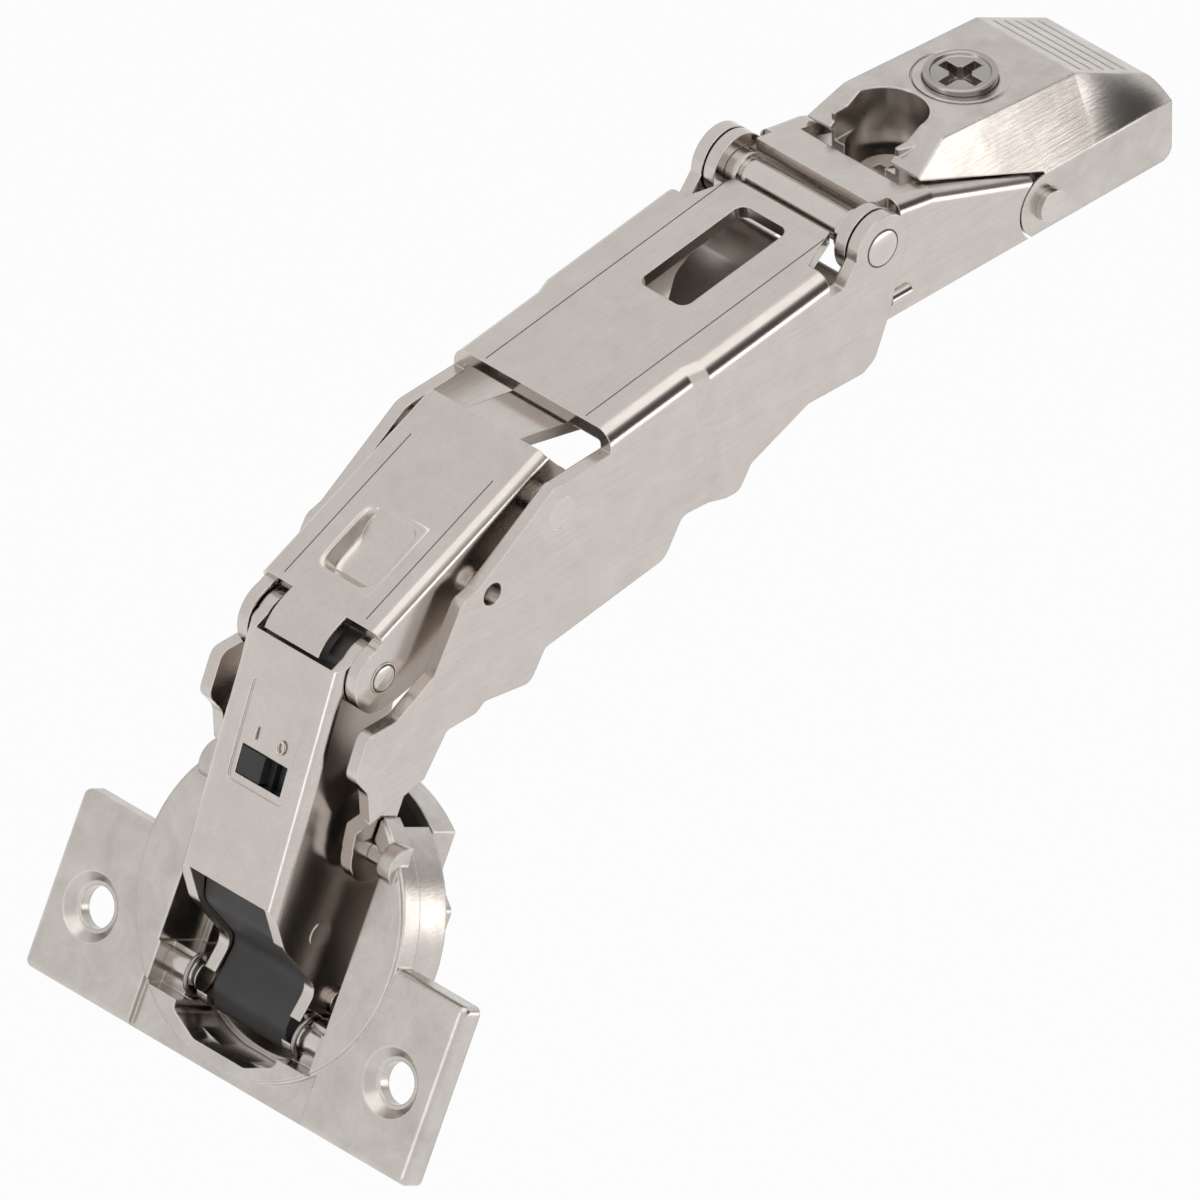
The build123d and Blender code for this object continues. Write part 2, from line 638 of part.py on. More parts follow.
def control_link():
    """The hidden hooked link: a wide hub on the arm and a narrow plate on the inner lever."""
    plane = web_plane(CONTROL_PIVOT, control_way, side=-1)
    length = control_span
    slot_end = (length + CONTROL_SLOT[0], CONTROL_SLOT[1])
    wide = [
        (0, CONTROL_HUB_R),
        (4, CONTROL_HUB_R - 0.3, 2.0),
        (16, -0.6, 6.0),
        (30, -4.6, 6.0),
        (34, -6.2),
        (34, -10.6),
        (28, -9.2, 6.0),
        (14, -5.4, 6.0),
        (0, -CONTROL_HUB_R),
    ]
    neck = [
        (32, -5.4),
        (37, -7.2, 2.0),
        (41.4, -9.9, 1.5),
        (44.6, -9.6, 0.8),
        (52.6, 1.2),
        (slot_end[0] + 2.2, slot_end[1] - 2.4),
        (49.6, -10.6, 3.0),
        (44.6, -12.6, 3.0),
        (38, -11.8, 3.0),
        (32, -10.1),
    ]
    hub = outline(to_part(plane, wide)) + disc(CONTROL_PIVOT, CONTROL_HUB_R)
    body = slab(hub, -CONTROL_HUB_HALF, CONTROL_HUB_HALF)
    # In plan the wide part narrows to the neck on one side
    plan = outline(
        [
            (CONTROL_PIVOT[0] + 6, CONTROL_HUB_HALF),
            (CONTROL_PIVOT[0] + 6, -CONTROL_HUB_HALF),
            (CONTROL_PIVOT[0] - 12, -CONTROL_HUB_HALF, 3.0),
            (CONTROL_PIVOT[0] - 30, CONTROL_NECK[0], 3.0),
            (CONTROL_PIVOT[0] - 36, CONTROL_NECK[0]),
            (CONTROL_PIVOT[0] - 36, CONTROL_NECK[1]),
            (CONTROL_PIVOT[0] - 31, CONTROL_NECK[1], 2.0),
            (CONTROL_PIVOT[0] - 8, CONTROL_HUB_HALF, 3.0),
        ]
    )
    body &= extrude(plan, amount=60, both=True)
    eye_centres = to_part(plane, [(length, 0), slot_end])
    body += slab(outline(to_part(plane, neck)), *CONTROL_NECK)
    body -= Pos(eye_centres[0][0], 0, eye_centres[0][1]) * Box(15, -2 * CONTROL_NECK[1], 14)
    eye = disc(eye_centres[0], CONTROL_EYE_R) + disc(eye_centres[1], CONTROL_EYE_END_R)
    body += slab(eye, *CONTROL_NECK)
    middle = ((eye_centres[0][0] + eye_centres[1][0]) / 2, (eye_centres[0][1] + eye_centres[1][1]) / 2)
    slot_way = direction(*eye_centres)
    slot = Pos(*middle) * Rot(0, 0, math.degrees(math.atan2(slot_way[1], slot_way[0]))) * SlotCenterToCenter(
        math.dist(*eye_centres), 2 * (LINK_PIN_R + CONTROL_SLOT_PLAY)
    )
    body -= slab(slot, -CONTROL_HUB_HALF, CONTROL_HUB_HALF)
    body -= bore(CONTROL_PIVOT, CONTROL_PIN_R + RUN)
    return body


def hinge_cup():
    """The die-cast cup with its flange, lugs and cheeks, all one piece."""
    plate = Pos((FLANGE_LOW + FLANGE_HIGH) / 2, 0, -FLANGE_THICK / 2) * Box(
        FLANGE_HIGH - FLANGE_LOW, 2 * FLANGE_HALF, FLANGE_THICK
    )
    plate = fillet(plate.edges().filter_by(Axis.Z), FLANGE_EDGE)
    plate = fillet(plate.faces().sort_by(Axis.Z)[-1].edges(), FLANGE_EDGE)
    strip = Pos(FLANGE_LOW, 0, 0) * Box(60, 2 * FLANGE_CENTRE_HALF, 2 * FLANGE_CENTRE_STEP)
    cup = plate - strip
    centre = Pos(CUP_CENTRE, 0, 0)
    rim = extrude(centre * Circle(CUP_RIM_R), amount=-FLANGE_THICK) + extrude(
        centre * Circle(CUP_RIM_R - 0.3), amount=CUP_RIM_RISE
    )
    cup += rim
    cup += extrude(centre * Circle(CUP_R), amount=-CUP_SHOULDER)
    wide, narrow = CUP_DEEP_HALF
    first, second = CUP_DEEP_STEP
    deep = outline(
        [
            (CUP_CENTRE - CUP_R, -wide),
            (first, -wide, 1.0),
            (second, -narrow, 1.0),
            (CUP_CENTRE + CUP_R, -narrow),
            (CUP_CENTRE + CUP_R, narrow),
            (second, narrow, 1.0),
            (first, wide, 1.0),
            (CUP_CENTRE - CUP_R, wide),
        ]
    )
    deep = extrude((centre * Circle(CUP_DEEP_R)) & deep, amount=-CUP_DEPTH)
    deep = chamfer(deep.faces().sort_by(Axis.Z)[0].edges(), 0.8)
    cup += deep

    # The main opening takes the folded levers, and its low end takes the door link
    inner = centre * Circle(CUP_R - CUP_WALL)
    upper = outline(
        [
            (LUG_TOP, -CUP_INNER_HALF),
            (CUP_CENTRE + CUP_R, -CUP_INNER_HALF),
            (CUP_CENTRE + CUP_R, CUP_INNER_HALF),
            (LUG_TOP, CUP_INNER_HALF),
        ]
    )
    cup -= extrude(Pos(0, 0, 1) * (inner & upper), amount=-CUP_SHOULDER + CUP_WALL - 1)
    deep_inner = outline(
        [
            (LUG_TOP, -wide + CUP_WALL),
            (first - 1, -wide + CUP_WALL),
            (second - 1, -narrow + CUP_WALL),
            (CUP_CENTRE + CUP_R, -narrow + CUP_WALL),
            (CUP_CENTRE + CUP_R, narrow - CUP_WALL),
            (second - 1, narrow - CUP_WALL),
            (first - 1, wide - CUP_WALL),
            (LUG_TOP, wide - CUP_WALL),
        ]
    )
    floor = CUP_DEPTH - CUP_FLOOR
    cup -= extrude((centre * Circle(CUP_DEEP_R - CUP_WALL)) & deep_inner, amount=-floor)
    lower = outline(
        [
            (LUG_TOP + 1, -LUG_INNER),
            (LUG_TOP + 1, LUG_INNER),
            (OPENING_SIDE, LUG_INNER, 1.0),
            (OPENING_LOW, OPENING_CORNER, 1.0),
            (OPENING_LOW, -OPENING_CORNER, 1.0),
            (OPENING_SIDE, -LUG_INNER, 1.0),
        ]
    )
    cup -= extrude(Pos(0, 0, 1) * lower, amount=-FLANGE_THICK - 1)
    cup -= extrude((centre * Circle(CUP_R - CUP_LOW_WALL)) & lower, amount=-CUP_SHOULDER + CUP_WALL)
    cup -= extrude((centre * Circle(CUP_DEEP_R - CUP_LOW_WALL)) & lower, amount=-floor)

    # A notch in the top of the wall lets the folded levers out
    notch = outline([(NOTCH_START, -NOTCH_HALF), (60, -NOTCH_HALF), (60, NOTCH_HALF), (NOTCH_START, NOTCH_HALF)])
    cup -= extrude(Pos(0, 0, 1) * notch, amount=-NOTCH_DEPTH - 1)

    # The lugs stand lower than the rim
    lug_cut = Pos((LUG_TOP - 4) / 2, 0, 0) * Box(LUG_TOP + 4 + 0.01, 2 * LUG_OUTER, 2 * LUG_FRONT)
    cup -= lug_cut
    cup = cup_plane.location * cup

    # Bosses for the pins of the outer lever stand on the cheeks, and end in the flange, clear of the boring
    boring = Pos(CUP_CENTRE, 0, -FLANGE_THICK / 2 - CUP_DEPTH / 2) * Box(4 * CUP_R, 4 * CUP_R, CUP_DEPTH)
    bosses = pair(pin(CUP_LEVER_PIVOT, CUP_BOSS_R, CUP_INNER_HALF, CUP_BOSS_END))
    cup += bosses - cup_plane.location * boring
    cup -= pair(pin(CUP_LEVER_PIVOT, CUP_LEVER_PIN_R, LUG_INNER, CUP_BOSS_END - 0.6))
    cup -= pair(pin(CUP_LINK_PIVOT, CUP_LINK_PIN_R, 0, LUG_OUTER))
    # Recess for the coil of the closing spring in each lug
    cup -= pair(pin(CUP_LINK_PIVOT, SPRING_COIL_R + SPRING_WIRE_R + 0.15, 0, spring_end + RUN))

    # Two countersunk screw holes
    for side in (-1, 1):
        through = Pos(0, side * SCREW_SPACING / 2, 0) * Cylinder(SCREW_HOLE_R, 4 * FLANGE_THICK)
        sink = Pos(0, side * SCREW_SPACING / 2, -SCREW_SINK_DEPTH / 2) * Cone(
            SCREW_HOLE_R + 0.4, SCREW_SINK_R, SCREW_SINK_DEPTH
        )
        cup -= cup_plane.location * (through + sink)
    return cup


def closing_springs():
    spring = coil(SPRING_COIL_R, SPRING_WIRE_R, SPRING_TURNS, SPRING_PITCH)
    place = Plane(origin=(CUP_LINK_PIVOT[0], spring_start, CUP_LINK_PIVOT[1]), z_dir=(0, 1, 0))
    one = place.location * spring
    return [one, mirror(one, Plane.XZ)]


def arm_channel():
    """The folded arm: a sloping web, two side plates with ears, and inner tails at the rear."""
    half, sheet = ARM_HALF, ARM_SHEET
    slope = direction(ARM_WEB_MIDDLE, ARM_WEB_REAR)
    front = direction(ARM_WEB_FRONT, ARM_WEB_MIDDLE)
    rear_fold = web_plane(ARM_WEB_MIDDLE, slope).location * fold(half, sheet, ARM_BEND, 40, -20, 40)
    front_fold = web_plane(ARM_WEB_FRONT, front).location * fold(half, sheet, ARM_BEND, 40, -20, 40)
    split = outline([(-60, 60), (-60, -60), (-14.6, -60), (ARM_WEB_MIDDLE[0], 60)])
    shell = (front_fold & slab(split, -half, half)) + (rear_fold - slab(split, -half, half))
    blank = outline(
        [
            (ARM_SHOULDER, 20),
            (ARM_SHOULDER, 0),
            (TILT_PIVOT[0] - 2.2, 0),
            (TILT_PIVOT[0] - 2.2, 20),
        ]
    )
    arm = shell & slab(blank - disc(TILT_PIVOT, TILT_EAR_R + SEAM), -half, half)

    # Side plates with the ears of the arm pivot and the control pivot
    plate = outline(
        [
            (ARM_SHOULDER + 1, 0),
            (CONTROL_PIVOT[0] + 3.6, 0, 1.5),
            (CONTROL_PIVOT[0] + 1.5, CONTROL_PIVOT[1] - ARM_CONTROL_EAR_R + 0.3),
            (CONTROL_PIVOT[0] - ARM_CONTROL_EAR_R, CONTROL_PIVOT[1]),
            (ARM_PIVOT[0] - ARM_EAR_R + 0.6, ARM_PIVOT[1] - 3, 2.0),
            (ARM_PIVOT[0], ARM_PIVOT[1]),
            (ARM_PIVOT[0] + ARM_EAR_R, ARM_PIVOT[1] - 0.8, 0.5),
            (ARM_SHOULDER + 1, ARM_PIVOT[1] - 0.8),
        ]
    )
    plate = plate + disc(ARM_PIVOT, ARM_EAR_R) + disc(CONTROL_PIVOT, ARM_CONTROL_EAR_R)
    arm += pair(slab(plate, half - sheet, half))

    # The web reaches forward between the ears, and opens below the housing
    tongue = outline(
        [
            (ARM_WEB_FRONT[0], -ARM_TONGUE_HALF),
            (ARM_WEB_FRONT[0], ARM_TONGUE_HALF),
            (ARM_SHOULDER + 1, ARM_TONGUE_HALF),
            (ARM_SHOULDER + 1, -ARM_TONGUE_HALF),
        ]
    )
    arm += front_fold & extrude(tongue, amount=20)
    opening = Pos(ARM_OPENING_START + 15, 0, 10) * Box(30, 2 * ARM_OPENING_HALF, 20)
    arm -= opening

    # Inner tails carry the tilt rivet inside the ears of the housing
    tail = outline(
        [
            (TAIL_FRONT, 0.2),
            (TAIL_FRONT, 6.0, 1.0),
            (-3, 6.6, 1.0),
            (TILT_PIVOT[0], TILT_PIVOT[1] + TILT_EAR_R - 1.1, 1.0),
            (TILT_PIVOT[0] + TILT_EAR_R - 0.9, TILT_PIVOT[1], 1.5),
            (TILT_PIVOT[0] + 1, 0.2, 1.0),
        ]
    )
    tail_outer = half - sheet - RUN
    arm += pair(slab(tail, ARM_TAIL_INNER, tail_outer))
    arm += pair(slab(outline([(TAIL_FRONT, 0.2), (TAIL_FRONT, 6), (-4, 6), (-4, 0.2)]), tail_outer - 0.2, tail_outer + 0.2))

    # A half-sheared stop on each side
    bump = Pos(DIMPLE[0], 0, DIMPLE[1]) * Rot(0, 90, 0) * Cylinder(DIMPLE_R, DIMPLE_LENGTH)
    arm += Pos(0, half, 0) * bump + Pos(0, -half, 0) * bump

    arm -= bore(ARM_PIVOT, ARM_PIN_R + RUN)
    arm -= bore(CONTROL_PIVOT, CONTROL_PIN_R)
    arm -= bore(TILT_PIVOT, TILT_RIVET_R + RUN)
    return arm


def housing_body(inset, drop):
    """The outer form of the housing, or a smaller one for its hollow."""

    def section(at, top):
        return Plane.YZ.offset(at) * Polygon(
            (-ARM_HALF + inset, -1),
            (ARM_HALF - inset, -1),
            (ARM_HALF - inset, HOUSING_CREASE - drop / 2),
            (HOUSING_TOP_HALF - inset, top - drop),
            (-HOUSING_TOP_HALF + inset, top - drop),
            (-ARM_HALF + inset, HOUSING_CREASE - drop / 2),
            align=None,
        )

    sections = [
        section(HOUSING_FOOT - 1 + inset, HOUSING_TOP_FRONT + 0.3),
        section(HOUSING_MIDDLE, HOUSING_TOP_MIDDLE),
        section(HOUSING_REAR - inset, HOUSING_TOP_REAR),
    ]
    return loft(sections, ruled=True)


def housing():
    """The die-cast cover, hollow below, with ears on the tilt rivet."""
    body = housing_body(0, 0)
    side = outline(
        [
            (HOUSING_FOOT, ARM_WEB_MIDDLE[1] + SEAM),
            (ARM_WEB_REAR[0], ARM_WEB_REAR[1] + SEAM, 0.5),
            (TILT_PIVOT[0], TILT_PIVOT[1]),
            (TILT_PIVOT[0] - 2.4, 0),
            (HOUSING_REAR, 0, 1.5),
            (HOUSING_REAR, HOUSING_TOP_REAR, HOUSING_REAR_BEND),
            (HOUSING_MIDDLE, HOUSING_TOP_MIDDLE, 1.5),
            (HOUSING_FRONT, HOUSING_TOP_FRONT, 1.0),
            (HOUSING_FOOT - 0.4, ARM_WEB_MIDDLE[1] + SEAM + 0.4, 0.3),
        ]
    )
    ear = disc(TILT_PIVOT, TILT_EAR_R) & outline([(-10, 0), (20, 0), (20, 20), (-10, 20)])
    body &= slab(side + ear, -ARM_HALF, ARM_HALF)
    hollow = housing_body(HOUSING_WALL, HOUSING_WALL)
    hollow -= Pos(-20 + HOUSING_FRONT + 2, 0, 0) * Box(40, 40, 60)
    boss = Cylinder(DEPTH_BOSS_R, 40) - Pos(0, 0, DEPTH_BOSS_BOTTOM - 20) * Box(20, 20, 40)
    pocket_at = Pos(SCREW_POCKET[0], SCREW_POCKET[1], 0)
    pocket_boss = pocket_at * Cylinder(SCREW_POCKET_R + HOUSING_WALL, 40)
    pocket_boss -= Pos(0, 0, SCREW_POCKET_BOTTOM - 20) * Box(60, 60, 40)
    body -= hollow - boss - pocket_boss
    body += pocket_boss & housing_body(HOUSING_WALL, 0) & slab(
        outline([(-20, 0), (-1, 0), (-1, 15.2), (-20, 15.2)]), -9, 9
    )

    # The screw pocket is a half round well, open to the front above the arm
    pocket_height = 20
    well = pocket_at * Pos(0, 0, SCREW_POCKET_FLOOR + pocket_height / 2) * Cylinder(SCREW_POCKET_R, pocket_height)
    mouth = pocket_at * Pos(-5, 0, ARM_WEB_MIDDLE[1] - 1.2 + pocket_height / 2) * Box(
        10, 2 * SCREW_POCKET_R, pocket_height
    )
    body -= well + mouth
    body -= pocket_at * Pos(0, 0, SCREW_POCKET_BOTTOM) * Cylinder(SIDE_SHANK_R + RUN, 10)

    # Seat of the depth screw, and the ring groove round it
    body -= Cylinder(DEPTH_SHANK_R + RUN, 60)
    seat = DEPTH_HEAD_TOP - DEPTH_HEAD_HEIGHT
    body -= Pos(0, 0, seat + 5) * Cylinder(DEPTH_HEAD_R + 2 * RUN, 10)
    ring = Circle(DEPTH_RING_R) - Circle(DEPTH_RING_R - DEPTH_RING_WIDTH)
    body -= extrude(Pos(0, 0, HOUSING_TOP_MIDDLE + 0.4) * ring, amount=10)

    # Grip grooves across the rear slope
    slope_way = direction((HOUSING_MIDDLE, HOUSING_TOP_MIDDLE), (HOUSING_REAR, HOUSING_TOP_REAR))
    slope = web_plane((HOUSING_MIDDLE, HOUSING_TOP_MIDDLE), slope_way)
    for i in range(GRIP_GROOVES):
        at = 2.0 + i * GRIP_PITCH
        body -= slope.location * Pos(at, 0, 0) * Box(GRIP_WIDTH, 2 * HOUSING_TOP_HALF - 1.6, 2 * GRIP_DEPTH)

    body -= bore(TILT_PIVOT, TILT_RIVET_R)
    body -= bore(LATCH_PIVOT, LATCH_PIN_R) & Box(60, 2 * (ARM_HALF - 0.6), 60)
    # Room for the latch lever in the rear wall
    body -= Pos(HOUSING_REAR, 0, 0) * Box(6, 2 * LATCH_HALF + 2 * SIDE_GAP, 7.4)
    return body


def tilt_rivets():
    near = ARM_TAIL_INNER
    return [
        pin(TILT_PIVOT, TILT_RIVET_R, near, ARM_HALF + TILT_RIVET_PROUD),
        pin(TILT_PIVOT, TILT_RIVET_R, -ARM_HALF - TILT_RIVET_PROUD, -near),
    ]


def depth_screw():
    """Large screw with a cross recess, turned together with the cam below it."""
    seat = DEPTH_HEAD_TOP - DEPTH_HEAD_HEIGHT
    head = Pos(0, 0, seat + DEPTH_HEAD_HEIGHT / 2) * Cylinder(DEPTH_HEAD_R, DEPTH_HEAD_HEIGHT)
    head = fillet(head.faces().sort_by(Axis.Z)[-1].edges(), DEPTH_HEAD_EDGE)
    cam_top = DEPTH_BOSS_BOTTOM - SEAM / 2
    shank_end = cam_top - CAM_HEIGHT
    shank = Pos(0, 0, (seat + shank_end) / 2) * Cylinder(DEPTH_SHANK_R, seat - shank_end)
    screw = head + shank
    for turn in (0, 90):
        arm = Box(2 * DEPTH_RECESS_ARM, 2 * DEPTH_RECESS_HALF, 2 * DEPTH_RECESS_DEPTH)
        screw -= Pos(0, 0, DEPTH_HEAD_TOP) * Rot(0, 0, turn) * arm
    return screw


def depth_cam():
    cam_top = DEPTH_BOSS_BOTTOM - SEAM / 2
    cam = Pos(CAM_OFFSET, 0, cam_top - CAM_HEIGHT / 2) * Cylinder(CAM_R, CAM_HEIGHT)
    return cam - Cylinder(DEPTH_SHANK_R, 60)


def side_screw():
    at = Pos(SCREW_POCKET[0], SCREW_POCKET[1], 0)
    head = Pos(0, 0, SCREW_POCKET_FLOOR + SIDE_HEAD_HEIGHT / 2 + RUN) * Cylinder(SIDE_HEAD_R, SIDE_HEAD_HEIGHT)
    length = SCREW_POCKET_FLOOR + 1 - SIDE_SHANK_END
    shank = Pos(0, 0, SIDE_SHANK_END + length / 2) * Cylinder(SIDE_SHANK_R, length)
    screw = head + shank
    for turn in (0, 90):
        arm = Box(SIDE_HEAD_R, 2 * SIDE_RECESS_HALF, 2)
        screw -= Pos(0, 0, SCREW_POCKET_FLOOR + SIDE_HEAD_HEIGHT) * Rot(0, 0, turn) * arm
    return at * screw


def adjust_nut():
    """The cross bar in the arm that the side screw works in."""
    half = ARM_HALF - ARM_SHEET
    nut = pin((SCREW_POCKET[0], NUT_AXIS), NUT_R, -half, half)
    return nut - Pos(SCREW_POCKET[0], SCREW_POCKET[1], 0) * Cylinder(SIDE_SHANK_R + 3 * RUN, 30)


def latch_lever():
    """The catch that hooks under the mounting plate, worked by the tab at the rear."""
    shape = outline(
        [
            (LATCH_PIVOT[0] - LATCH_HUB_R, LATCH_PIVOT[1]),
            (LATCH_PIVOT[0] - LATCH_HUB_R, 1.0),
            (LATCH_PIVOT[0] - LATCH_HUB_R - 2.2, 0.4),
            (LATCH_PIVOT[0] - LATCH_HUB_R - 1.2, -1.2, 0.4),
            (LATCH_PIVOT[0] - 0.4, -0.8, 0.8),
            (LATCH_PIVOT[0] + 1.2, 1.0, 1.0),
            (HOUSING_REAR + 0.6, 0.8, 0.5),
            (HOUSING_REAR + 0.6, 2.6, 0.5),
            (LATCH_PIVOT[0] + LATCH_HUB_R, 3.0, 1.0),
            (LATCH_PIVOT[0] + LATCH_HUB_R, LATCH_PIVOT[1]),
        ]
    )
    shape = shape + disc(LATCH_PIVOT, LATCH_HUB_R)
    lever = slab(shape, -LATCH_HALF, LATCH_HALF)
    room = LATCH_SPRING_TURNS * LATCH_SPRING_WIRE_R * 2 + 1.2
    spring_room = disc(LATCH_PIVOT, LATCH_SPRING_COIL_R + LATCH_SPRING_WIRE_R + 0.3)
    lever -= slab(spring_room, -room / 2, room / 2)
    return lever - bore(LATCH_PIVOT, LATCH_PIN_R + RUN)


def latch_spring():
    pitch = 2 * LATCH_SPRING_WIRE_R + 0.08
    spring = coil(LATCH_SPRING_COIL_R, LATCH_SPRING_WIRE_R, LATCH_SPRING_TURNS, pitch)
    start = -pitch * LATCH_SPRING_TURNS / 2
    place = Plane(origin=(LATCH_PIVOT[0], start, LATCH_PIVOT[1]), z_dir=(0, 1, 0))
    return place.location * spring


def arm_pin():
    """The pin of the arm, with a thicker shoulder inside each ear."""
    inner = ARM_HALF - ARM_SHEET - RUN
    shoulder = pair(pin(ARM_PIVOT, ARM_PIN_SHOULDER_R, inner - ARM_PIN_SHOULDER, inner))
    return pin(ARM_PIVOT, ARM_PIN_R, -LEVER_REAR_HALF, LEVER_REAR_HALF) + shoulder


def mirrored_pins(pivot, radius, near, far):
    """Two short pins, one on each side."""
    return [pin(pivot, radius, near, far), pin(pivot, radius, -far, -near)]


def build():
    inner_inside = INNER_HALF - INNER_SHEET
    ear_inside = LEVER_EAR_HALF - LEVER_SHEET
    elbow_half = INNER_HALF + 0.1
    return {
        "housing": housing(),
        "depth_screw": depth_screw(),
        "depth_cam": depth_cam(),
        "side_screw": side_screw(),
        "adjust_nut": adjust_nut(),
        "latch_lever": latch_lever(),
        "latch_pin": pin(LATCH_PIVOT, LATCH_PIN_R, -ARM_HALF + 0.6, ARM_HALF - 0.6),
        "latch_spring": latch_spring(),
        "arm_channel": arm_channel(),
        "tilt_rivets": tilt_rivets(),
        "arm_pin": arm_pin(),
        "control_pin": pin(CONTROL_PIVOT, CONTROL_PIN_R, -ARM_HALF, ARM_HALF),
        "outer_lever": outer_lever(),
        "lever_rivets": mirrored_pins(LEVER_PIVOT, LEVER_PIN_R, inner_inside, LEVER_FRONT_HALF),
        "inner_lever": inner_lever(),
        "link_pin": pin(LINK_PIVOT, LINK_PIN_R, -INNER_HALF, INNER_HALF),
        "elbow_pin": pin(ELBOW_PIVOT, ELBOW_PIN_R, -elbow_half, elbow_half),
        "control_link": control_link(),
        "door_link": door_link(),
        "damper_body": damper_body(),
        "damper_plunger": damper_plunger(),
        "damper_rivets": damper_rivets(),
        "switch_slider": switch_slider(),
        "hinge_cup": hinge_cup(),
        "cup_link_pins": mirrored_pins(CUP_LINK_PIVOT, CUP_LINK_PIN_R, LUG_INNER - 0.25, LUG_OUTER),
        "cup_lever_pins": mirrored_pins(CUP_LEVER_PIVOT, CUP_LEVER_PIN_R, ear_inside, CUP_BOSS_END - 0.6),
        "closing_springs": closing_springs(),
    }


def write(name, shape):
    solids = shape if isinstance(shape, list) else shape.solids()
    solids = [solid for piece in solids for solid in piece.solids()]
    whole = solids[0] if len(solids) == 1 else Compound(children=solids)
    whole.label = name
    export_step(whole, os.path.join("parts", name + ".step"))


os.makedirs("parts", exist_ok=True)
for name, shape in build().items():
    write(name, shape)
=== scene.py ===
# %% [markdown]
# # A concealed cup hinge in satin nickel
# This lesson dresses a finished CAD model of a wide-angle cabinet hinge. The shapes of all its metal parts are
# already right, so most of the work is in the surfaces: satin nickel on folded sheet, on die-cast zinc and on turned
# pins, dark moulded plastic, and drawn spring wire. Some small pieces are modelled here: the switch marks, the coined
# lines of the levers, a pressed dimple, pin ends, a bush and the large cross-head screw.

# %% Load the frame
import math

import bpy
from mathutils import Matrix, Vector


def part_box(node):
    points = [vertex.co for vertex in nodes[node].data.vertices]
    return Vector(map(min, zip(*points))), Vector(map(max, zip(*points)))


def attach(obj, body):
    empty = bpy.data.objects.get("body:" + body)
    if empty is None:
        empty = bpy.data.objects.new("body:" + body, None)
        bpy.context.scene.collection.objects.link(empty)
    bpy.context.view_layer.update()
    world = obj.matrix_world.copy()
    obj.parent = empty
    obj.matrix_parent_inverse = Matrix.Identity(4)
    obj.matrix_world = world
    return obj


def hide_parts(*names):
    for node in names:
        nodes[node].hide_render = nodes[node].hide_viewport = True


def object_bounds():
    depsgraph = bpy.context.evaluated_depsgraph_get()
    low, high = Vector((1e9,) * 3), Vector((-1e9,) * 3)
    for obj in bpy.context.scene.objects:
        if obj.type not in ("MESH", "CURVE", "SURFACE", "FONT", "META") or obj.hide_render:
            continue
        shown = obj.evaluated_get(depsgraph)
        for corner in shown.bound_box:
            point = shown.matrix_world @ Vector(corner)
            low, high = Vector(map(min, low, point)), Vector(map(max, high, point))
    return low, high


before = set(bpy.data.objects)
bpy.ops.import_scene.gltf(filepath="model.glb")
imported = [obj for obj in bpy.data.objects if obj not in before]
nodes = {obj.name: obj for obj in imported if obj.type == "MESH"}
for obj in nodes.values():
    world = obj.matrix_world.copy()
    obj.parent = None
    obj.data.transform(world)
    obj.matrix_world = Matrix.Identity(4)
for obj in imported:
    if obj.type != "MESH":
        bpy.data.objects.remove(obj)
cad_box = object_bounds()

print("nodes:", len(nodes))

# %% [markdown]
# ## One unit for everything
# The frame is in metres and the hinge is measured in millimetres, so one small number turns one into the other.

# %% Millimetres
MM = 0.001


def at(x, y, z):
    """A point given in millimetres."""
    return Vector((x, y, z)) * MM


# %% [markdown]
# ## Node helpers
# A material is a graph of nodes. Three small helpers keep the graph short to write: one adds a node and sets its plain
# inputs, one joins two sockets, and one declares a socket of a node group. The Mix node has its colour sockets behind
# those of its other data types, so their numbers get names.

# %% Node helpers
MIX_A, MIX_B, MIX_RESULT = 6, 7, 2


def add_node(tree, kind, **values):
    node = tree.nodes.new(kind)
    for name, value in values.items():
        if hasattr(node, name):
            setattr(node, name, value)
        else:
            node.inputs[name.replace("_", " ")].default_value = value
    return node


def join(tree, source, target):
    tree.links.new(source, target)


def group_socket(tree, name, kind, way, value=None):
    socket = tree.interface.new_socket(name=name, in_out=way, socket_type=kind)
    if value is not None:
        socket.default_value = value


# %% [markdown]
# ## Satin finish as a node group
# Barrel-plated nickel is never one flat colour. Close up it shows cloudy patches a few millimetres wide, a fine grain
# like sand, and thin streaks left by rolling or polishing. All metals of the hinge share these three, in different
# amounts, so they are made once as a group. It gives a colour, a roughness and a height for the bumps.

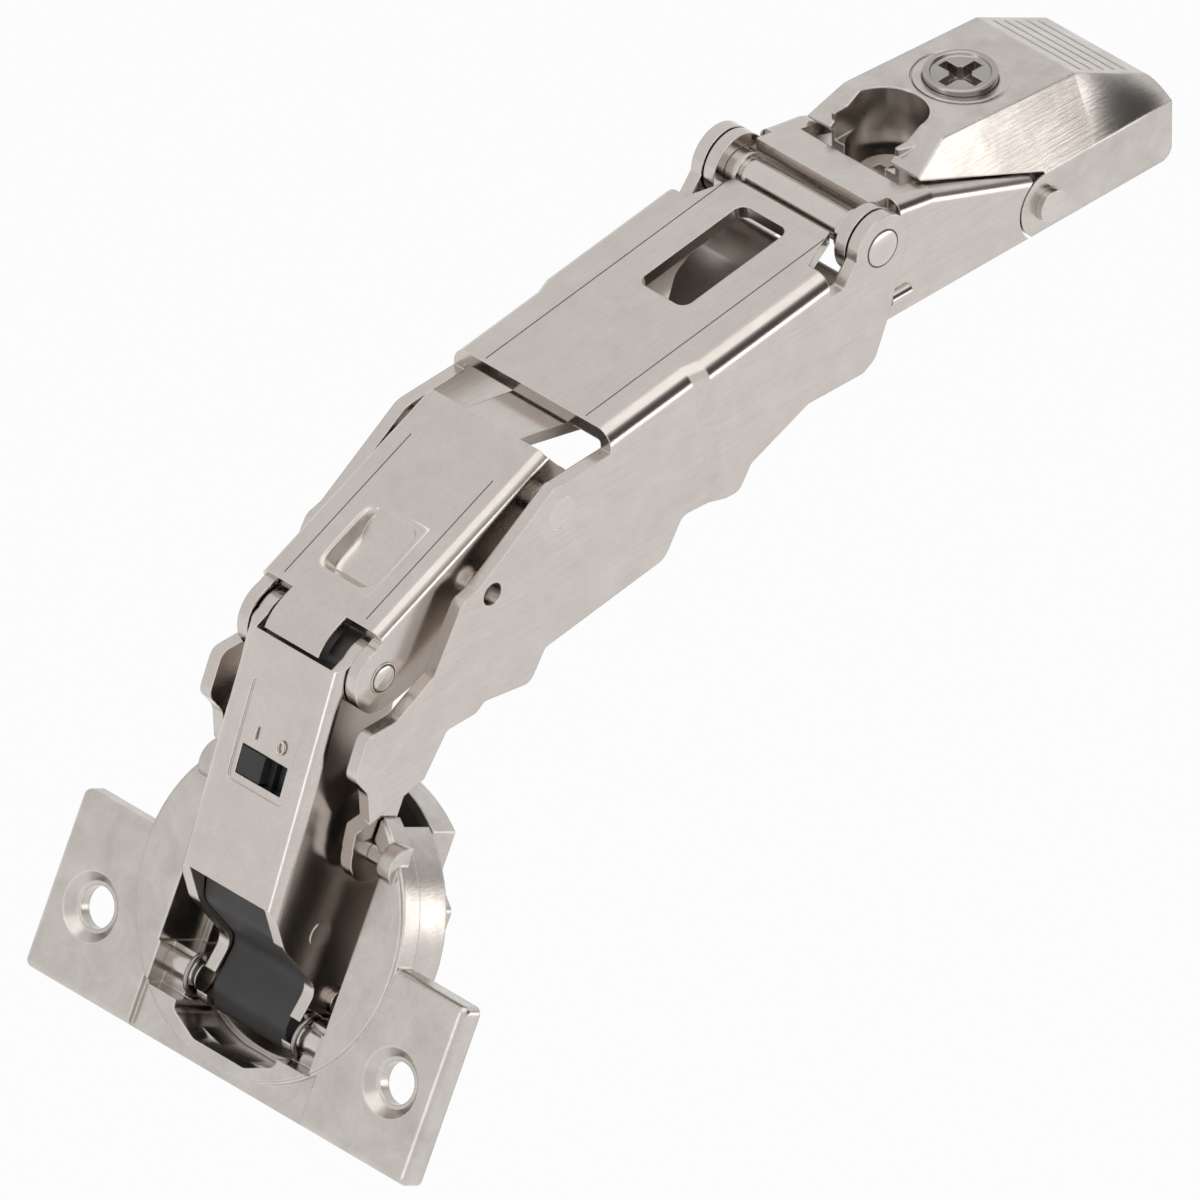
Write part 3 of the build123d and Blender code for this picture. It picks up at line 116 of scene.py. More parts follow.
# %% Satin finish group
def make_satin_group():
    group = bpy.data.node_groups.new("satin_finish", "ShaderNodeTree")
    group_socket(group, "Light", "NodeSocketColor", "INPUT", (0.6, 0.56, 0.53, 1))
    group_socket(group, "Dark", "NodeSocketColor", "INPUT", (0.45, 0.42, 0.39, 1))
    group_socket(group, "Patches", "NodeSocketFloat", "INPUT", 1.0)
    group_socket(group, "Streaks", "NodeSocketFloat", "INPUT", 0.3)
    group_socket(group, "Roughness", "NodeSocketFloat", "INPUT", 0.3)
    group_socket(group, "Colour", "NodeSocketColor", "OUTPUT")
    group_socket(group, "Gloss", "NodeSocketFloat", "OUTPUT")
    group_socket(group, "Height", "NodeSocketFloat", "OUTPUT")
    inside = add_node(group, "NodeGroupInput")
    outside = add_node(group, "NodeGroupOutput")
    place = add_node(group, "ShaderNodeTexCoord")

    clouds = add_node(group, "ShaderNodeTexNoise", Scale=240.0, Detail=5.0, Roughness=0.62, Distortion=0.4)
    grain = add_node(group, "ShaderNodeTexNoise", Scale=4200.0, Detail=2.0, Roughness=0.5)
    stretch = add_node(group, "ShaderNodeMapping")
    stretch.inputs["Scale"].default_value = (150.0, 5200.0, 2600.0)
    streaks = add_node(group, "ShaderNodeTexNoise", Scale=1.0, Detail=3.0, Roughness=0.55)
    for texture in (clouds, grain, stretch):
        join(group, place.outputs["Object"], texture.inputs["Vector"])
    join(group, stretch.outputs["Vector"], streaks.inputs["Vector"])

    # Clouds and streaks, each centred on nought and weighted, make one mask
    cloud_part = add_node(group, "ShaderNodeMath", operation="MULTIPLY_ADD")
    join(group, clouds.outputs["Fac"], cloud_part.inputs[0])
    join(group, inside.outputs["Patches"], cloud_part.inputs[1])
    cloud_part.inputs[2].default_value = 0.25
    streak_part = add_node(group, "ShaderNodeMath", operation="MULTIPLY_ADD")
    join(group, streaks.outputs["Fac"], streak_part.inputs[0])
    join(group, inside.outputs["Streaks"], streak_part.inputs[1])
    join(group, cloud_part.outputs["Value"], streak_part.inputs[2])
    mask = add_node(group, "ShaderNodeMapRange")
    mask.inputs["From Min"].default_value = 0.5
    mask.inputs["From Max"].default_value = 1.25
    join(group, streak_part.outputs["Value"], mask.inputs["Value"])

    tint = add_node(group, "ShaderNodeMix", data_type="RGBA")
    join(group, mask.outputs["Result"], tint.inputs["Factor"])
    join(group, inside.outputs["Dark"], tint.inputs[MIX_A])
    join(group, inside.outputs["Light"], tint.inputs[MIX_B])
    join(group, tint.outputs[MIX_RESULT], outside.inputs["Colour"])

    gloss = add_node(group, "ShaderNodeMath", operation="MULTIPLY_ADD")
    join(group, mask.outputs["Result"], gloss.inputs[0])
    gloss.inputs[1].default_value = -0.1
    join(group, inside.outputs["Roughness"], gloss.inputs[2])
    join(group, gloss.outputs["Value"], outside.inputs["Gloss"])

    height = add_node(group, "ShaderNodeMath", operation="MULTIPLY_ADD")
    join(group, grain.outputs["Fac"], height.inputs[0])
    height.inputs[1].default_value = 0.7
    join(group, streaks.outputs["Fac"], height.inputs[2])
    join(group, height.outputs["Value"], outside.inputs["Height"])
    return group


satin_group = make_satin_group()
print("group:", satin_group.name, len(satin_group.nodes), "nodes")

# %% [markdown]
# ## The metals
# Each metal is the group, a bump and a Principled BSDF with Metallic at 1. A Bevel node rounds every sharp edge a
# little when it is shaded: real sheet has a rolled-over edge, and that thin bright line is what makes metal read as
# solid. The same rounding, compared with the true face, gives a mask that paints a highlight into the base colour along
# the edges.

# %% Metal maker
def make_metal(name, light, dark, patches, streaks, rough, bump, edge):
    material = bpy.data.materials.new(name)
    material.use_nodes = True
    tree = material.node_tree
    shader = tree.nodes["Principled BSDF"]
    shader.inputs["Metallic"].default_value = 1.0
    satin = add_node(tree, "ShaderNodeGroup")
    satin.node_tree = satin_group
    satin.inputs["Light"].default_value = (*light, 1)
    satin.inputs["Dark"].default_value = (*dark, 1)
    satin.inputs["Patches"].default_value = patches
    satin.inputs["Streaks"].default_value = streaks
    satin.inputs["Roughness"].default_value = rough

    rounded = add_node(tree, "ShaderNodeBevel", samples=4)
    rounded.inputs["Radius"].default_value = edge * MM
    face = add_node(tree, "ShaderNodeNewGeometry")
    same = add_node(tree, "ShaderNodeVectorMath", operation="DOT_PRODUCT")
    join(tree, rounded.outputs["Normal"], same.inputs[0])
    join(tree, face.outputs["True Normal"], same.inputs[1])
    # Painted highlight: along the rounded edges the base colour is mixed towards a lighter copy of the metal.
    edge_highlight_mask = add_node(tree, "ShaderNodeMapRange")
    edge_highlight_mask.inputs["From Min"].default_value = 0.995
    edge_highlight_mask.inputs["From Max"].default_value = 0.85
    edge_highlight_mask.inputs["To Max"].default_value = 0.6
    join(tree, same.outputs["Value"], edge_highlight_mask.inputs["Value"])
    painted_edge_highlight = add_node(tree, "ShaderNodeMix", data_type="RGBA")
    painted_edge_highlight.inputs[MIX_B].default_value = (*[min(1.0, c * 1.25) for c in light], 1)
    join(tree, edge_highlight_mask.outputs["Result"], painted_edge_highlight.inputs["Factor"])
    join(tree, satin.outputs["Colour"], painted_edge_highlight.inputs[MIX_A])
    join(tree, painted_edge_highlight.outputs[MIX_RESULT], shader.inputs["Base Color"])
    join(tree, satin.outputs["Gloss"], shader.inputs["Roughness"])

    relief = add_node(tree, "ShaderNodeBump", Strength=bump)
    relief.inputs["Distance"].default_value = 0.02 * MM
    join(tree, satin.outputs["Height"], relief.inputs["Height"])
    join(tree, rounded.outputs["Normal"], relief.inputs["Normal"])
    join(tree, relief.outputs["Normal"], shader.inputs["Normal"])
    return material


# %% [markdown]
# The sheet parts are smooth and a little warm, the castings are cloudier and rougher, and the pins are the
# brightest, because they are turned and rubbed by what moves on them.

# %% Metals
sheet_nickel = make_metal("sheet_nickel", (0.66, 0.61, 0.57), (0.53, 0.485, 0.45), 0.8, 0.5, 0.25, 0.25, 0.22)
cast_nickel = make_metal("cast_nickel", (0.66, 0.62, 0.58), (0.47, 0.435, 0.405), 1.2, 0.1, 0.29, 0.4, 0.35)
turned_nickel = make_metal("turned_nickel", (0.74, 0.70, 0.66), (0.58, 0.54, 0.5), 0.5, 0.4, 0.22, 0.15, 0.2)
# Painted shade: a darker, rougher copy of the sheet nickel, for the inner pieces that sit in shadow.
painted_shade_nickel = make_metal("painted_shade_nickel", (0.56, 0.52, 0.48), (0.42, 0.39, 0.36), 0.8, 0.5, 0.38, 0.25, 0.2)
spring_steel = make_metal("spring_steel", (0.42, 0.4, 0.38), (0.28, 0.265, 0.25), 0.6, 0.6, 0.32, 0.2, 0.05)

# %% [markdown]
# ## Moulded plastic
# The damper and its switch are dark glass-filled nylon. Its colour is not quite black, its gloss is uneven, and the
# mould leaves a very fine leathery texture.

# %% Plastic group
def make_moulded_group():
    group = bpy.data.node_groups.new("moulded_texture", "ShaderNodeTree")
    group_socket(group, "Colour A", "NodeSocketColor", "INPUT", (0.05, 0.047, 0.044, 1))
    group_socket(group, "Colour B", "NodeSocketColor", "INPUT", (0.03, 0.028, 0.026, 1))
    group_socket(group, "Colour", "NodeSocketColor", "OUTPUT")
    group_socket(group, "Gloss", "NodeSocketFloat", "OUTPUT")
    group_socket(group, "Height", "NodeSocketFloat", "OUTPUT")
    inside = add_node(group, "NodeGroupInput")
    outside = add_node(group, "NodeGroupOutput")
    place = add_node(group, "ShaderNodeTexCoord")
    fine = add_node(group, "ShaderNodeTexVoronoi", Scale=2600.0)
    broad = add_node(group, "ShaderNodeTexNoise", Scale=300.0, Detail=4.0)
    for texture in (fine, broad):
        join(group, place.outputs["Object"], texture.inputs["Vector"])
    tint = add_node(group, "ShaderNodeMix", data_type="RGBA")
    join(group, broad.outputs["Fac"], tint.inputs["Factor"])
    join(group, inside.outputs["Colour A"], tint.inputs[MIX_A])
    join(group, inside.outputs["Colour B"], tint.inputs[MIX_B])
    join(group, tint.outputs[MIX_RESULT], outside.inputs["Colour"])
    gloss = add_node(group, "ShaderNodeMapRange")
    gloss.inputs["To Min"].default_value = 0.42
    gloss.inputs["To Max"].default_value = 0.62
    join(group, broad.outputs["Fac"], gloss.inputs["Value"])
    join(group, gloss.outputs["Result"], outside.inputs["Gloss"])
    join(group, fine.outputs["Distance"], outside.inputs["Height"])
    return group


moulded_group = make_moulded_group()


# %% Plastic
def make_plastic(name, first, second, edge):
    material = bpy.data.materials.new(name)
    material.use_nodes = True
    tree = material.node_tree
    shader = tree.nodes["Principled BSDF"]
    moulded = add_node(tree, "ShaderNodeGroup")
    moulded.node_tree = moulded_group
    moulded.inputs["Colour A"].default_value = (*first, 1)
    moulded.inputs["Colour B"].default_value = (*second, 1)
    rounded = add_node(tree, "ShaderNodeBevel", samples=4)
    rounded.inputs["Radius"].default_value = edge * MM
    relief = add_node(tree, "ShaderNodeBump", Strength=0.3)
    relief.inputs["Distance"].default_value = 0.03 * MM
    join(tree, moulded.outputs["Colour"], shader.inputs["Base Color"])
    join(tree, moulded.outputs["Gloss"], shader.inputs["Roughness"])
    join(tree, moulded.outputs["Height"], relief.inputs["Height"])
    join(tree, rounded.outputs["Normal"], relief.inputs["Normal"])
    join(tree, relief.outputs["Normal"], shader.inputs["Normal"])
    return material


damper_plastic = make_plastic("damper_plastic", (0.075, 0.071, 0.068), (0.045, 0.042, 0.04), 0.3)
switch_plastic = make_plastic("switch_plastic", (0.045, 0.043, 0.041), (0.03, 0.028, 0.027), 0.15)

# %% [markdown]
# ## Give each CAD part its finish
# The table is read from the part's side: which finish does this piece have on the real hinge? Inner pieces that sit
# in shadow get a darker, rougher copy of the nickel instead, which paints their shade into the colour.

# %% Assign the finishes
finishes = {
    sheet_nickel: ["outer_lever", "inner_lever", "door_link", "arm_channel"],
    cast_nickel: ["housing", "hinge_cup", "latch_lever"],
    turned_nickel: [
        "arm_pin",
        "control_pin",
        "link_pin",
        "elbow_pin",
        "lever_rivets",
        "tilt_rivets",
        "damper_rivets",
        "cup_link_pins",
        "cup_lever_pins",
        "depth_screw",
        "side_screw",
    ],
    painted_shade_nickel: ["control_link", "adjust_nut", "depth_cam", "latch_pin"],
    spring_steel: ["closing_springs", "latch_spring"],
    damper_plastic: ["damper_body", "damper_plunger"],
    switch_plastic: ["switch_slider"],
}
dressed = set()
for material, names in finishes.items():
    for name in names:
        part = nodes[name]
        part.data.materials.clear()
        part.data.materials.append(material)
        dressed.add(name)
print("without a finish:", sorted(set(nodes) - dressed))

# %% [markdown]
# ## Helpers for the small pieces
# Each piece starts as a cube, a cylinder, a sphere or a ring, and modifiers give it its form. The helpers apply the
# modifiers, cut or join two pieces, and dress a finished piece: its name, its finish and the body that it rides on.

# %% Dress a piece
def dress(piece, name, material, body):
    piece.name = name
    piece.data.materials.clear()
    piece.data.materials.append(material)
    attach(piece, body)


# %% Solid starts
def apply_all(piece):
    """Applies the modifiers of a piece, from the top down."""
    bpy.ops.object.select_all(action="DESELECT")
    piece.select_set(True)
    bpy.context.view_layer.objects.active = piece
    for modifier in list(piece.modifiers):
        bpy.ops.object.modifier_apply(modifier=modifier.name)


def rounded_block(low, high, radius, segments=3):
    """A box between two corners in millimetres, with rounded edges."""
    bpy.ops.object.select_all(action="DESELECT")
    middle = [(a + b) / 2 for a, b in zip(low, high)]
    bpy.ops.mesh.primitive_cube_add(size=1, location=at(*middle))
    block = bpy.context.object
    block.scale = [(b - a) * MM for a, b in zip(low, high)]
    bpy.ops.object.transform_apply(location=True, rotation=True, scale=True)
    if radius:
        rounding = block.modifiers.new("rounding", "BEVEL")
        rounding.width = radius * MM
        rounding.segments = segments
        apply_all(block)
    return block


def round_bar(middle, radius, length, turn=(0, 0, 0), sides=64):
    """A round bar whose middle is at a point in millimetres."""
    bpy.ops.object.select_all(action="DESELECT")
    bpy.ops.mesh.primitive_cylinder_add(
        vertices=sides, radius=radius * MM, depth=length * MM, location=at(*middle), rotation=turn
    )
    bar = bpy.context.object
    bpy.ops.object.transform_apply(location=True, rotation=True, scale=True)
    return bar


def combine(piece, other, way):
    """Cuts another piece away, or joins it on, and deletes it."""
    cut = piece.modifiers.new("cut", "BOOLEAN")
    cut.operation = way
    cut.solver = "EXACT"
    cut.object = other
    apply_all(piece)
    bpy.data.objects.remove(other)


# %% [markdown]
# ## The switch marks
# Beside the switch, the door link carries two embossed marks: a stroke for on and a ring for off. Both are tiny
# raised lines, round enough to catch the light: the stroke is a cube with rounded edges, and the ring is a torus
# squeezed to an oval. Both are made flat at the origin and then laid on the web of the link.

# %% The plane of the door link's web
link_top = at(-99.6, 0, -8.8)
link_down = (at(-109.6, 0, -34.7) - link_top).normalized()
link_out = Vector((link_down.z, 0, -link_down.x))
print("outward:", [round(c, 3) for c in link_out])


def lay_on_link(piece, along, side, out):
    """Turns a flat piece, reading up +Y, onto the web: down from its top end, to the +Y side, and outwards."""
    turn = Matrix((Vector((0, -1, 0)), -link_down, link_out)).transposed().to_4x4()
    place = link_top + (link_down * along + Vector((0, side, 0)) + link_out * out) * MM
    piece.data.transform(Matrix.Translation(place) @ turn)
    piece.data.update()


# %% On mark: a short stroke
MARK_ALONG, MARK_SIDE = 10.7, 1.9
STROKE_HALF = Vector((0.16, 0.75, 0.1))
stroke = rounded_block(-STROKE_HALF, STROKE_HALF, 0.08)
lay_on_link(stroke, MARK_ALONG, MARK_SIDE, 0.02)
dress(stroke, "switch_mark_on", sheet_nickel, "door_link_body")
print("stroke faces:", len(stroke.data.polygons))

# %% Off mark: an oval ring
RING_R, RING_LINE_R = 0.55, 0.13
RING_OVAL = (0.85, 1.25, 1.0)
bpy.ops.object.select_all(action="DESELECT")
bpy.ops.mesh.primitive_torus_add(
    major_radius=RING_R * MM, minor_radius=RING_LINE_R * MM, major_segments=32, minor_segments=10
)
ring = bpy.context.object
ring.scale = RING_OVAL
bpy.ops.object.transform_apply(location=False, rotation=False, scale=True)
bpy.ops.object.shade_smooth()
lay_on_link(ring, MARK_ALONG, -MARK_SIDE, 0.0)
dress(ring, "switch_mark_off", sheet_nickel, "door_link_body")
print("ring faces:", len(ring.data.polygons))

# %% [markdown]
# ## Laying a piece on a folded web
# The webs of the levers slope. A detail is easier to make flat at the origin, with X along the web and Z outwards, and
# then laid on its web in one step.

# %% Webs of the levers
def web_frame(start, end):
    """The start, direction and outward normal of a web, from two points of its side view."""
    first, last = [at(x, 0, z) for x, z in (start, end)]
    along = (last - first).normalized()
    return first, along, Vector((-along.z, 0, along.x))


lever_web = web_frame((-64.1, 6.88), (-26.8, 12.21))
inner_web = web_frame((-95.23, -4.47), (-70.95, 6.39))


def lay_down(piece, web):
    """Turns a piece made flat at the origin onto a web."""
    start, along, out = web
    turn = Matrix((along, out.cross(along), out)).transposed().to_4x4()
    piece.data.transform(Matrix.Translation(start) @ turn)
    piece.data.update()


# %% [markdown]
# ## Coined lines
# The press leaves a hairline along both sides of each web, just inside the bend. Each is a bar about a tenth of a
# millimetre wide, sunk to its half in the sheet, in a dark copy of the metal that paints the shade of the groove. A
# line is given by its start and end along the web, and its distance from the middle.

# %% Coined lines
# crease_shadow is a dark copy of the metal that paints shade: in the coined grooves, and in the gap round each pin end.
crease_shadow = make_metal("crease_shadow", (0.2, 0.18, 0.17), (0.13, 0.12, 0.11), 0.4, 0.2, 0.45, 0.1, 0.02)
LINE_HALF, LINE_PROUD = 0.06, 0.03
LEVER_LINE = (0.5, 36.5, 7.45)
INNER_LINE = (0.4, 21.0, 6.1)


def coined_line(name, web, start, end, side, body):
    low = (start, side - LINE_HALF, -LINE_PROUD)
    high = (end, side + LINE_HALF, LINE_PROUD)
    line = rounded_block(low, high, LINE_PROUD / 2, 2)
    lay_down(line, web)
    dress(line, name, crease_shadow, body)


for label, way in (("left", 1), ("right", -1)):
    for name, web, (start, end, side), body in (
        ("lever_line_", lever_web, LEVER_LINE, "lever_body"),
        ("inner_line_", inner_web, INNER_LINE, "inner_body"),
    ):
        coined_line(name + label, web, start, end, side * way, body)

# %% [markdown]
# ## The pressed dimple
# The short lever has a dimple with soft edges: a flat floor, and a ramp that climbs towards the arm. It is cut into a
# small block that fills the plain pocket of the CAD part. The cutter starts as a sphere. Each of its rings becomes a
# rounded rectangle at its own height, from the mouth down to the floor, and a tilted block takes the ramp away from it.

# %% Dimple cutter
DIMPLE_MIDDLE, DIMPLE_HALF = 7.6, (4.5, 3.65)
CORNER_POWER = 0.4

# Height, and how much wider than DIMPLE_HALF, ring by ring from the floor up
DIMPLE_FORM = [
    (-1.9, -4.0),
    (-1.9, -1.1),
    (-1.8, -0.75),
    (-1.5, -0.5),
    (-0.45, -0.15),
    (-0.12, 0.02),
    (0.02, 0.32),
    (0.8, 1.2),
    (0.8, 0.0),
]
RAMP_START, RAMP_TILT = (8.2, -1.9), math.radians(-20)
rings = len(DIMPLE_FORM) - 1
bpy.ops.object.select_all(action="DESELECT")
bpy.ops.mesh.primitive_uv_sphere_add(segments=64, ring_count=rings, radius=1)
bowl = bpy.context.object
for vertex in bowl.data.vertices:
    ring_number = round(math.acos(max(-1.0, min(1.0, -vertex.co.z))) / math.pi * rings)
    depth, grow = DIMPLE_FORM[ring_number]
    pole = ring_number in (0, rings)
    way = (0, 0) if pole else vertex.co.xy.normalized()
    x, y = [math.copysign(abs(c) ** CORNER_POWER, c) * (half + grow) for c, half in zip(way, DIMPLE_HALF)]
    vertex.co = at(DIMPLE_MIDDLE + x, y, depth)

# The ramp's block reaches past the bowl on all its other sides
ramp = rounded_block((0, -9, -9), (20, 9, 0), 0)
ramp.data.transform(Matrix.Translation(at(RAMP_START[0], 0, RAMP_START[1])) @ Matrix.Rotation(RAMP_TILT, 4, "Y"))
combine(bowl, ramp, "DIFFERENCE")

# %% Dimple
BLOCK_LOW, BLOCK_HIGH, BLOCK_ROUNDING = (2.4, -4.5, -2.72), (12.9, 4.5, 0.012), 0.2
dimple = rounded_block(BLOCK_LOW, BLOCK_HIGH, BLOCK_ROUNDING, 2)
combine(dimple, bowl, "DIFFERENCE")
bpy.ops.object.shade_smooth_by_angle(angle=math.radians(35))
lay_down(dimple, inner_web)
dress(dimple, "inner_lever_dimple", sheet_nickel, "inner_body")
print("dimple faces:", len(dimple.data.polygons))

# %% [markdown]
# ## Pin ends
# The ends of the pins are turned: a low bright head with a chamfer, and a thin dark ring of painted shade where it
# meets the plate. Their places and radii are read from the boxes of the CAD pins.

# %% Pin ends
END_INSET, END_LENGTH, END_CHAMFER = 0.25, 0.5, 0.28
END_PROUD = 0.15
SEAM_GAP, SEAM_LINE_R = 0.04, 0.08


def pin_ends(node, body):
    low, high = [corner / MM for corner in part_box(node)]
    x, z = (low.x + high.x) / 2, (low.z + high.z) / 2
    radius = (high.x - low.x) / 2 - END_INSET
    for label, y in (("right", low.y), ("left", high.y)):
        middle_y = y + math.copysign(1, y) * (END_PROUD - END_LENGTH / 2)
        head = round_bar((x, middle_y, z), radius, END_LENGTH, (math.pi / 2, 0, 0), 48)
        chamfer = head.modifiers.new("chamfer", "BEVEL")
        chamfer.width = END_CHAMFER * MM
        chamfer.segments = 2
        chamfer.angle_limit = math.radians(50)
        apply_all(head)
        bpy.ops.object.shade_smooth_by_angle(angle=math.radians(30))
        dress(head, f"{node}_end_{label}", turned_nickel, body)
        # The seam is a dark torus in crease_shadow: painted shade for the gap where the head meets the plate.
        bpy.ops.object.select_all(action="DESELECT")
        bpy.ops.mesh.primitive_torus_add(
            location=at(x, y, z),
            rotation=(math.pi / 2, 0, 0),
            major_radius=(radius + SEAM_GAP) * MM,
            minor_radius=SEAM_LINE_R * MM,
            major_segments=48,
            minor_segments=8,
        )
        seam = bpy.context.object
        bpy.ops.object.transform_apply(location=True, rotation=True, scale=True)
        bpy.ops.object.shade_smooth()
        dress(seam, f"{node}_seam_{label}", crease_shadow, body)


for node, body in (("arm_pin", "lever_body"), ("elbow_pin", "inner_body")):
    pin_ends(node, body)

# %% [markdown]
# ## The damper's bush
# Dark plastic shows all round the elbow pin, between the ears of the door link. It is a plain sleeve about that pin, so
# it never touches anything as the link turns.

# %% Damper bush
ELBOW = (-95.1, 0, -10.4)
BUSH_R, BUSH_BORE_R, BUSH_LENGTH = 3.2, 1.85, 11.0
bush = round_bar(ELBOW, BUSH_R, BUSH_LENGTH, (math.pi / 2, 0, 0))
combine(bush, round_bar(ELBOW, BUSH_BORE_R, BUSH_LENGTH + 3, (math.pi / 2, 0, 0)), "DIFFERENCE")
dress(bush, "damper_bush", damper_plastic, "door_link_body")

# %% [markdown]
# ## The depth screw
# The large screw has a proud rim, a dished top and a cross recess. A cylinder is inset and sunk for the dish, two bars
# and a short pin are cut out for the recess, and the shank is joined on.

# %% Depth screw
HEAD_R, HEAD_TOP, HEAD_BOTTOM = 4.05, 16.5, 13.9
RIM_WIDTH, DISH_DEPTH, RIM_ROUNDING = 0.75, 0.45, 0.35
CROSS_HALF, CROSS_WIDTH, CROSS_BOTTOM = 2.75, 1.24, 14.6
CROSS_PIN_R, CROSS_PIN_BOTTOM = 1.25, 14.2
SHANK_R, SHANK_BOTTOM, SHANK_TOP = 2.5, 2.25, 13.95
screw = round_bar((0, 0, (HEAD_TOP + HEAD_BOTTOM) / 2), HEAD_R, HEAD_TOP - HEAD_BOTTOM, sides=72)
bpy.ops.object.mode_set(mode="EDIT")
bpy.ops.mesh.select_all(action="DESELECT")
bpy.ops.object.mode_set(mode="OBJECT")
for face in screw.data.polygons:
    face.select = face.normal.z > 0.9
bpy.ops.object.mode_set(mode="EDIT")
bpy.ops.mesh.inset(thickness=RIM_WIDTH * MM)
bpy.ops.mesh.extrude_region_move(TRANSFORM_OT_translate={"value": (0, 0, -DISH_DEPTH * MM)})
bpy.ops.object.mode_set(mode="OBJECT")
rounding = screw.modifiers.new("rounding", "BEVEL")
rounding.width = RIM_ROUNDING * MM
rounding.segments = 3
rounding.angle_limit = math.radians(40)
apply_all(screw)
above = HEAD_TOP + 1
for turn in (0, math.pi / 2):
    arm = rounded_block((-CROSS_HALF, -CROSS_WIDTH / 2, CROSS_BOTTOM), (CROSS_HALF, CROSS_WIDTH / 2, above), 0)
    arm.data.transform(Matrix.Rotation(turn, 4, "Z"))
    combine(screw, arm, "DIFFERENCE")
centre = round_bar((0, 0, (CROSS_PIN_BOTTOM + above) / 2), CROSS_PIN_R, above - CROSS_PIN_BOTTOM, sides=24)
combine(screw, centre, "DIFFERENCE")
shank = round_bar((0, 0, (SHANK_BOTTOM + SHANK_TOP) / 2), SHANK_R, SHANK_TOP - SHANK_BOTTOM)
combine(screw, shank, "UNION")
bpy.ops.object.shade_smooth_by_angle(angle=math.radians(30))
screw_steel = make_metal("screw_steel", (0.52, 0.49, 0.46), (0.36, 0.335, 0.31), 0.7, 0.3, 0.28, 0.2, 0.2)
dress(screw, "depth_screw_head", screw_steel, "depth_body")
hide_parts("depth_screw")
print("screw faces:", len(screw.data.polygons))

# %% [markdown]
# ## A plain stage
# The floor is a large pale plane well below the hinge. To the camera, and in reflections, it mostly glows white by
# itself, so the background is bright without more light on the metal, and the rest of its shader still receives a
# soft shadow.

# %% Floor
FLOOR_DROP, FLOOR_SIZE, FLOOR_GLOW = 0.18, 12, 0.96
bpy.ops.object.select_all(action="DESELECT")
bpy.ops.mesh.primitive_plane_add(size=FLOOR_SIZE, location=(0, 0, cad_box[0].z - FLOOR_DROP))
floor = bpy.context.object
floor.name = "floor"
floor_material = bpy.data.materials.new("pale_floor")
floor_material.use_nodes = True
tree = floor_material.node_tree
tree.nodes.remove(tree.nodes["Principled BSDF"])
matt = add_node(tree, "ShaderNodeBsdfDiffuse", Color=(0.8, 0.8, 0.8, 1))
glow = add_node(tree, "ShaderNodeEmission", Strength=1.0)
path = add_node(tree, "ShaderNodeLightPath")
shown = add_node(tree, "ShaderNodeMath", operation="MAXIMUM")
seen = add_node(tree, "ShaderNodeMath", operation="MULTIPLY")
seen.inputs[1].default_value = FLOOR_GLOW
blend = add_node(tree, "ShaderNodeMixShader")
join(tree, path.outputs["Is Camera Ray"], shown.inputs[0])
join(tree, path.outputs["Is Glossy Ray"], shown.inputs[1])
join(tree, shown.outputs["Value"], seen.inputs[0])
join(tree, seen.outputs["Value"], blend.inputs["Fac"])
join(tree, matt.outputs["BSDF"], blend.inputs[1])
join(tree, glow.outputs["Emission"], blend.inputs[2])
join(tree, blend.outputs["Shader"], tree.nodes["Material Output"].inputs["Surface"])
floor.data.materials.append(floor_material)

# %% [markdown]
# ## World and lamps
# Metal shows what stands round it, so the world is two rooms. To the camera it is plain white. To reflections it is a
# pale studio with one soft dark panel to the right, whose image draws a dark line along each fold and shades the
# slanted side of the housing. Everything else gets a dim even light. Three soft boxes add the bright lines: one
# overhead, a low one to the right of the camera, and a narrow one to the left.

# %% World
PANEL_WAY = Vector((0.6, -0.72, 0.3)).normalized()
PANEL_EDGE, PANEL_CORE = 0.8, 0.97
ROOM_LIGHT, STUDIO_LIGHT, PANEL_LIGHT = 0.4, 1.1, 0.1
world = bpy.data.worlds.new("studio")
bpy.context.scene.world = world
world.use_nodes = True
tree = world.node_tree
room = tree.nodes["Background"]
room.inputs["Color"].default_value = (0.9, 0.93, 1.0, 1)
room.inputs["Strength"].default_value = ROOM_LIGHT
white = add_node(tree, "ShaderNodeBackground", Color=(1, 1, 1, 1), Strength=1.0)

# The studio that the metal reflects: pale, with a soft dark panel in one direction
way = add_node(tree, "ShaderNodeTexCoord")
toward = add_node(tree, "ShaderNodeVectorMath", operation="DOT_PRODUCT")
toward.inputs[1].default_value = PANEL_WAY
panel = add_node(tree, "ShaderNodeMapRange", interpolation_type="SMOOTHSTEP")
panel.inputs["From Min"].default_value = PANEL_EDGE
panel.inputs["From Max"].default_value = PANEL_CORE
panel.inputs["To Min"].default_value = STUDIO_LIGHT
panel.inputs["To Max"].default_value = PANEL_LIGHT
studio = add_node(tree, "ShaderNodeBackground")
join(tree, way.outputs["Generated"], toward.inputs[0])
join(tree, toward.outputs["Value"], panel.inputs["Value"])
join(tree, panel.outputs["Result"], studio.inputs["Strength"])

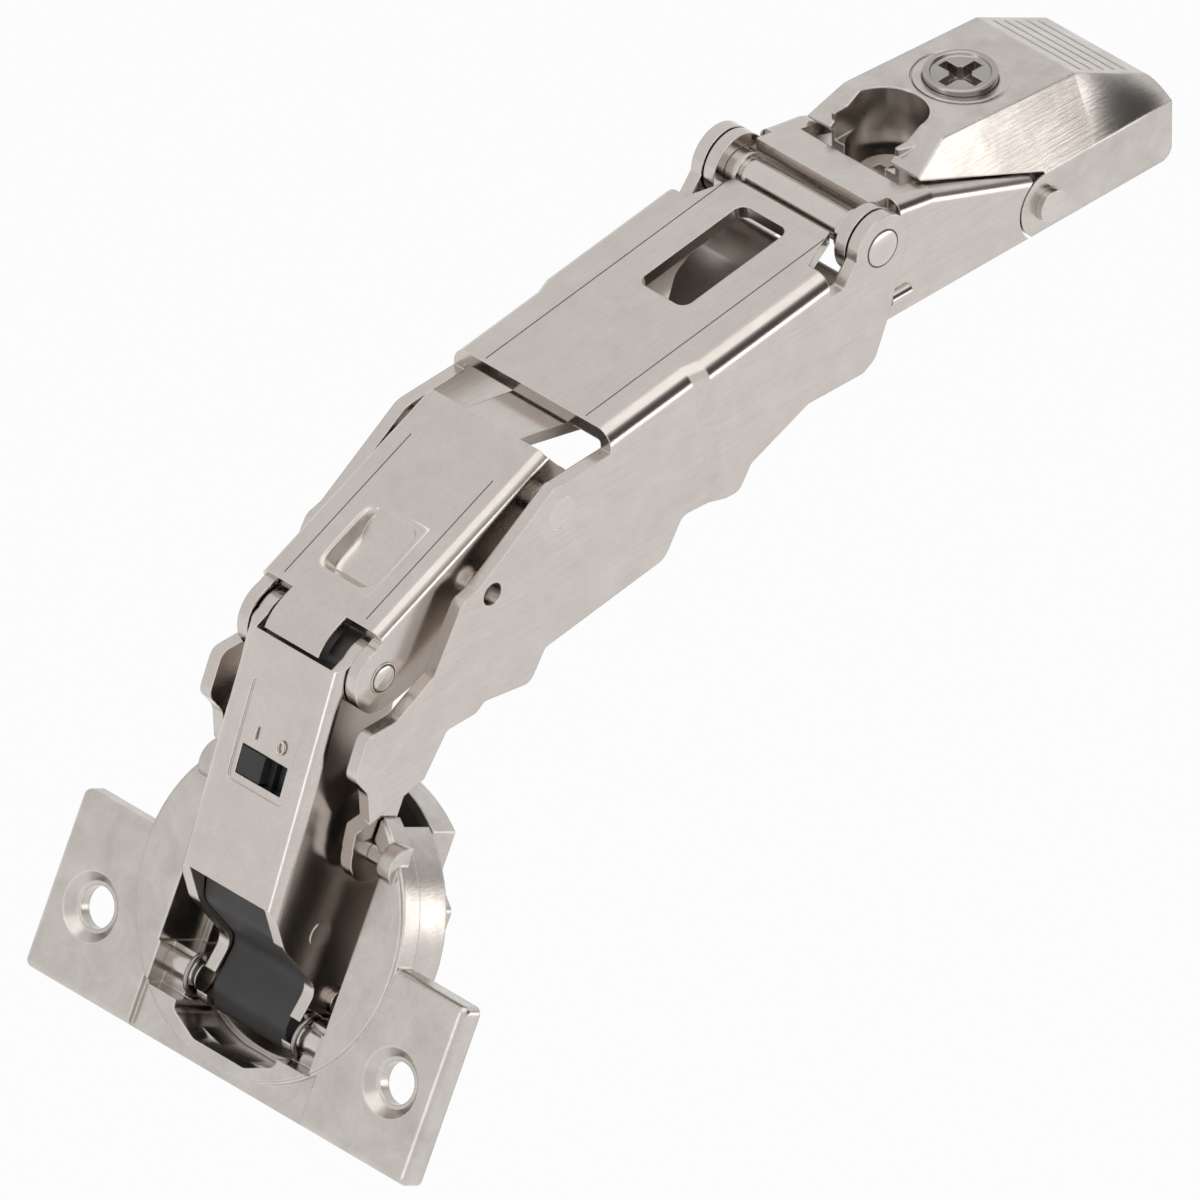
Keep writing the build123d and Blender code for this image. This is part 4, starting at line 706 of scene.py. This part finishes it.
path = add_node(tree, "ShaderNodeLightPath")
mirrored = add_node(tree, "ShaderNodeMixShader")
join(tree, path.outputs["Is Glossy Ray"], mirrored.inputs["Fac"])
join(tree, room.outputs["Background"], mirrored.inputs[1])
join(tree, studio.outputs["Background"], mirrored.inputs[2])
blend = add_node(tree, "ShaderNodeMixShader")
join(tree, path.outputs["Is Camera Ray"], blend.inputs["Fac"])
join(tree, mirrored.outputs["Shader"], blend.inputs[1])
join(tree, white.outputs["Background"], blend.inputs[2])
join(tree, blend.outputs["Shader"], tree.nodes["World Output"].inputs["Surface"])

# %% Soft boxes
middle = (cad_box[0] + cad_box[1]) / 2


def soft_box(name, offset, width, height, watts, colour=(1, 1, 1)):
    lamp = bpy.data.lights.new(name, "AREA")
    lamp.shape = "RECTANGLE"
    lamp.size, lamp.size_y = width, height
    lamp.energy = watts
    lamp.color = colour
    box = bpy.data.objects.new(name, lamp)
    bpy.context.scene.collection.objects.link(box)
    box.location = middle + Vector(offset)
    box.rotation_mode = "QUATERNION"
    box.rotation_quaternion = (-Vector(offset)).to_track_quat("-Z", "Y")
    return box


soft_box("overhead", (0.05, -0.1, 0.7), 0.8, 0.8, 1.2, (1.0, 0.98, 0.95))
soft_box("right_side", (0.45, -0.6, -0.1), 0.6, 0.25, 0.7, (1.0, 0.97, 0.94))
soft_box("left_strip", (-0.7, 0.1, 0.25), 0.2, 0.6, 0.5, (0.95, 0.98, 1.0))

# %% [markdown]
# ## Camera
# The picture is drawn in parallel lines, from 45 degrees to the left and 35.26 degrees above. A very long lens from
# far away gives nearly the same view, and it still frames the whole hinge when it is moved round it.

# %% Camera
FRAME_WIDTH = 127.0 * MM
AZIMUTH, ELEVATION = math.radians(-45), math.radians(35.264)
lens = bpy.data.cameras.new("camera")
lens.lens = 1500
lens.sensor_width = 36
back = Vector(
    (
        math.sin(AZIMUTH) * math.cos(ELEVATION),
        -math.cos(AZIMUTH) * math.cos(ELEVATION),
        math.sin(ELEVATION),
    )
)
aim = at(-54.03, 0, -25.32)
distance = FRAME_WIDTH * lens.lens / lens.sensor_width
camera = bpy.data.objects.new("camera", lens)
bpy.context.scene.collection.objects.link(camera)
camera.location = aim + back * distance
camera.rotation_mode = "QUATERNION"
camera.rotation_quaternion = (-back).to_track_quat("-Z", "Y")
lens.clip_start, lens.clip_end = 1, 20
bpy.context.scene.camera = camera
bpy.context.scene.view_settings.view_transform = "Standard"
print("camera distance:", round(distance, 3))
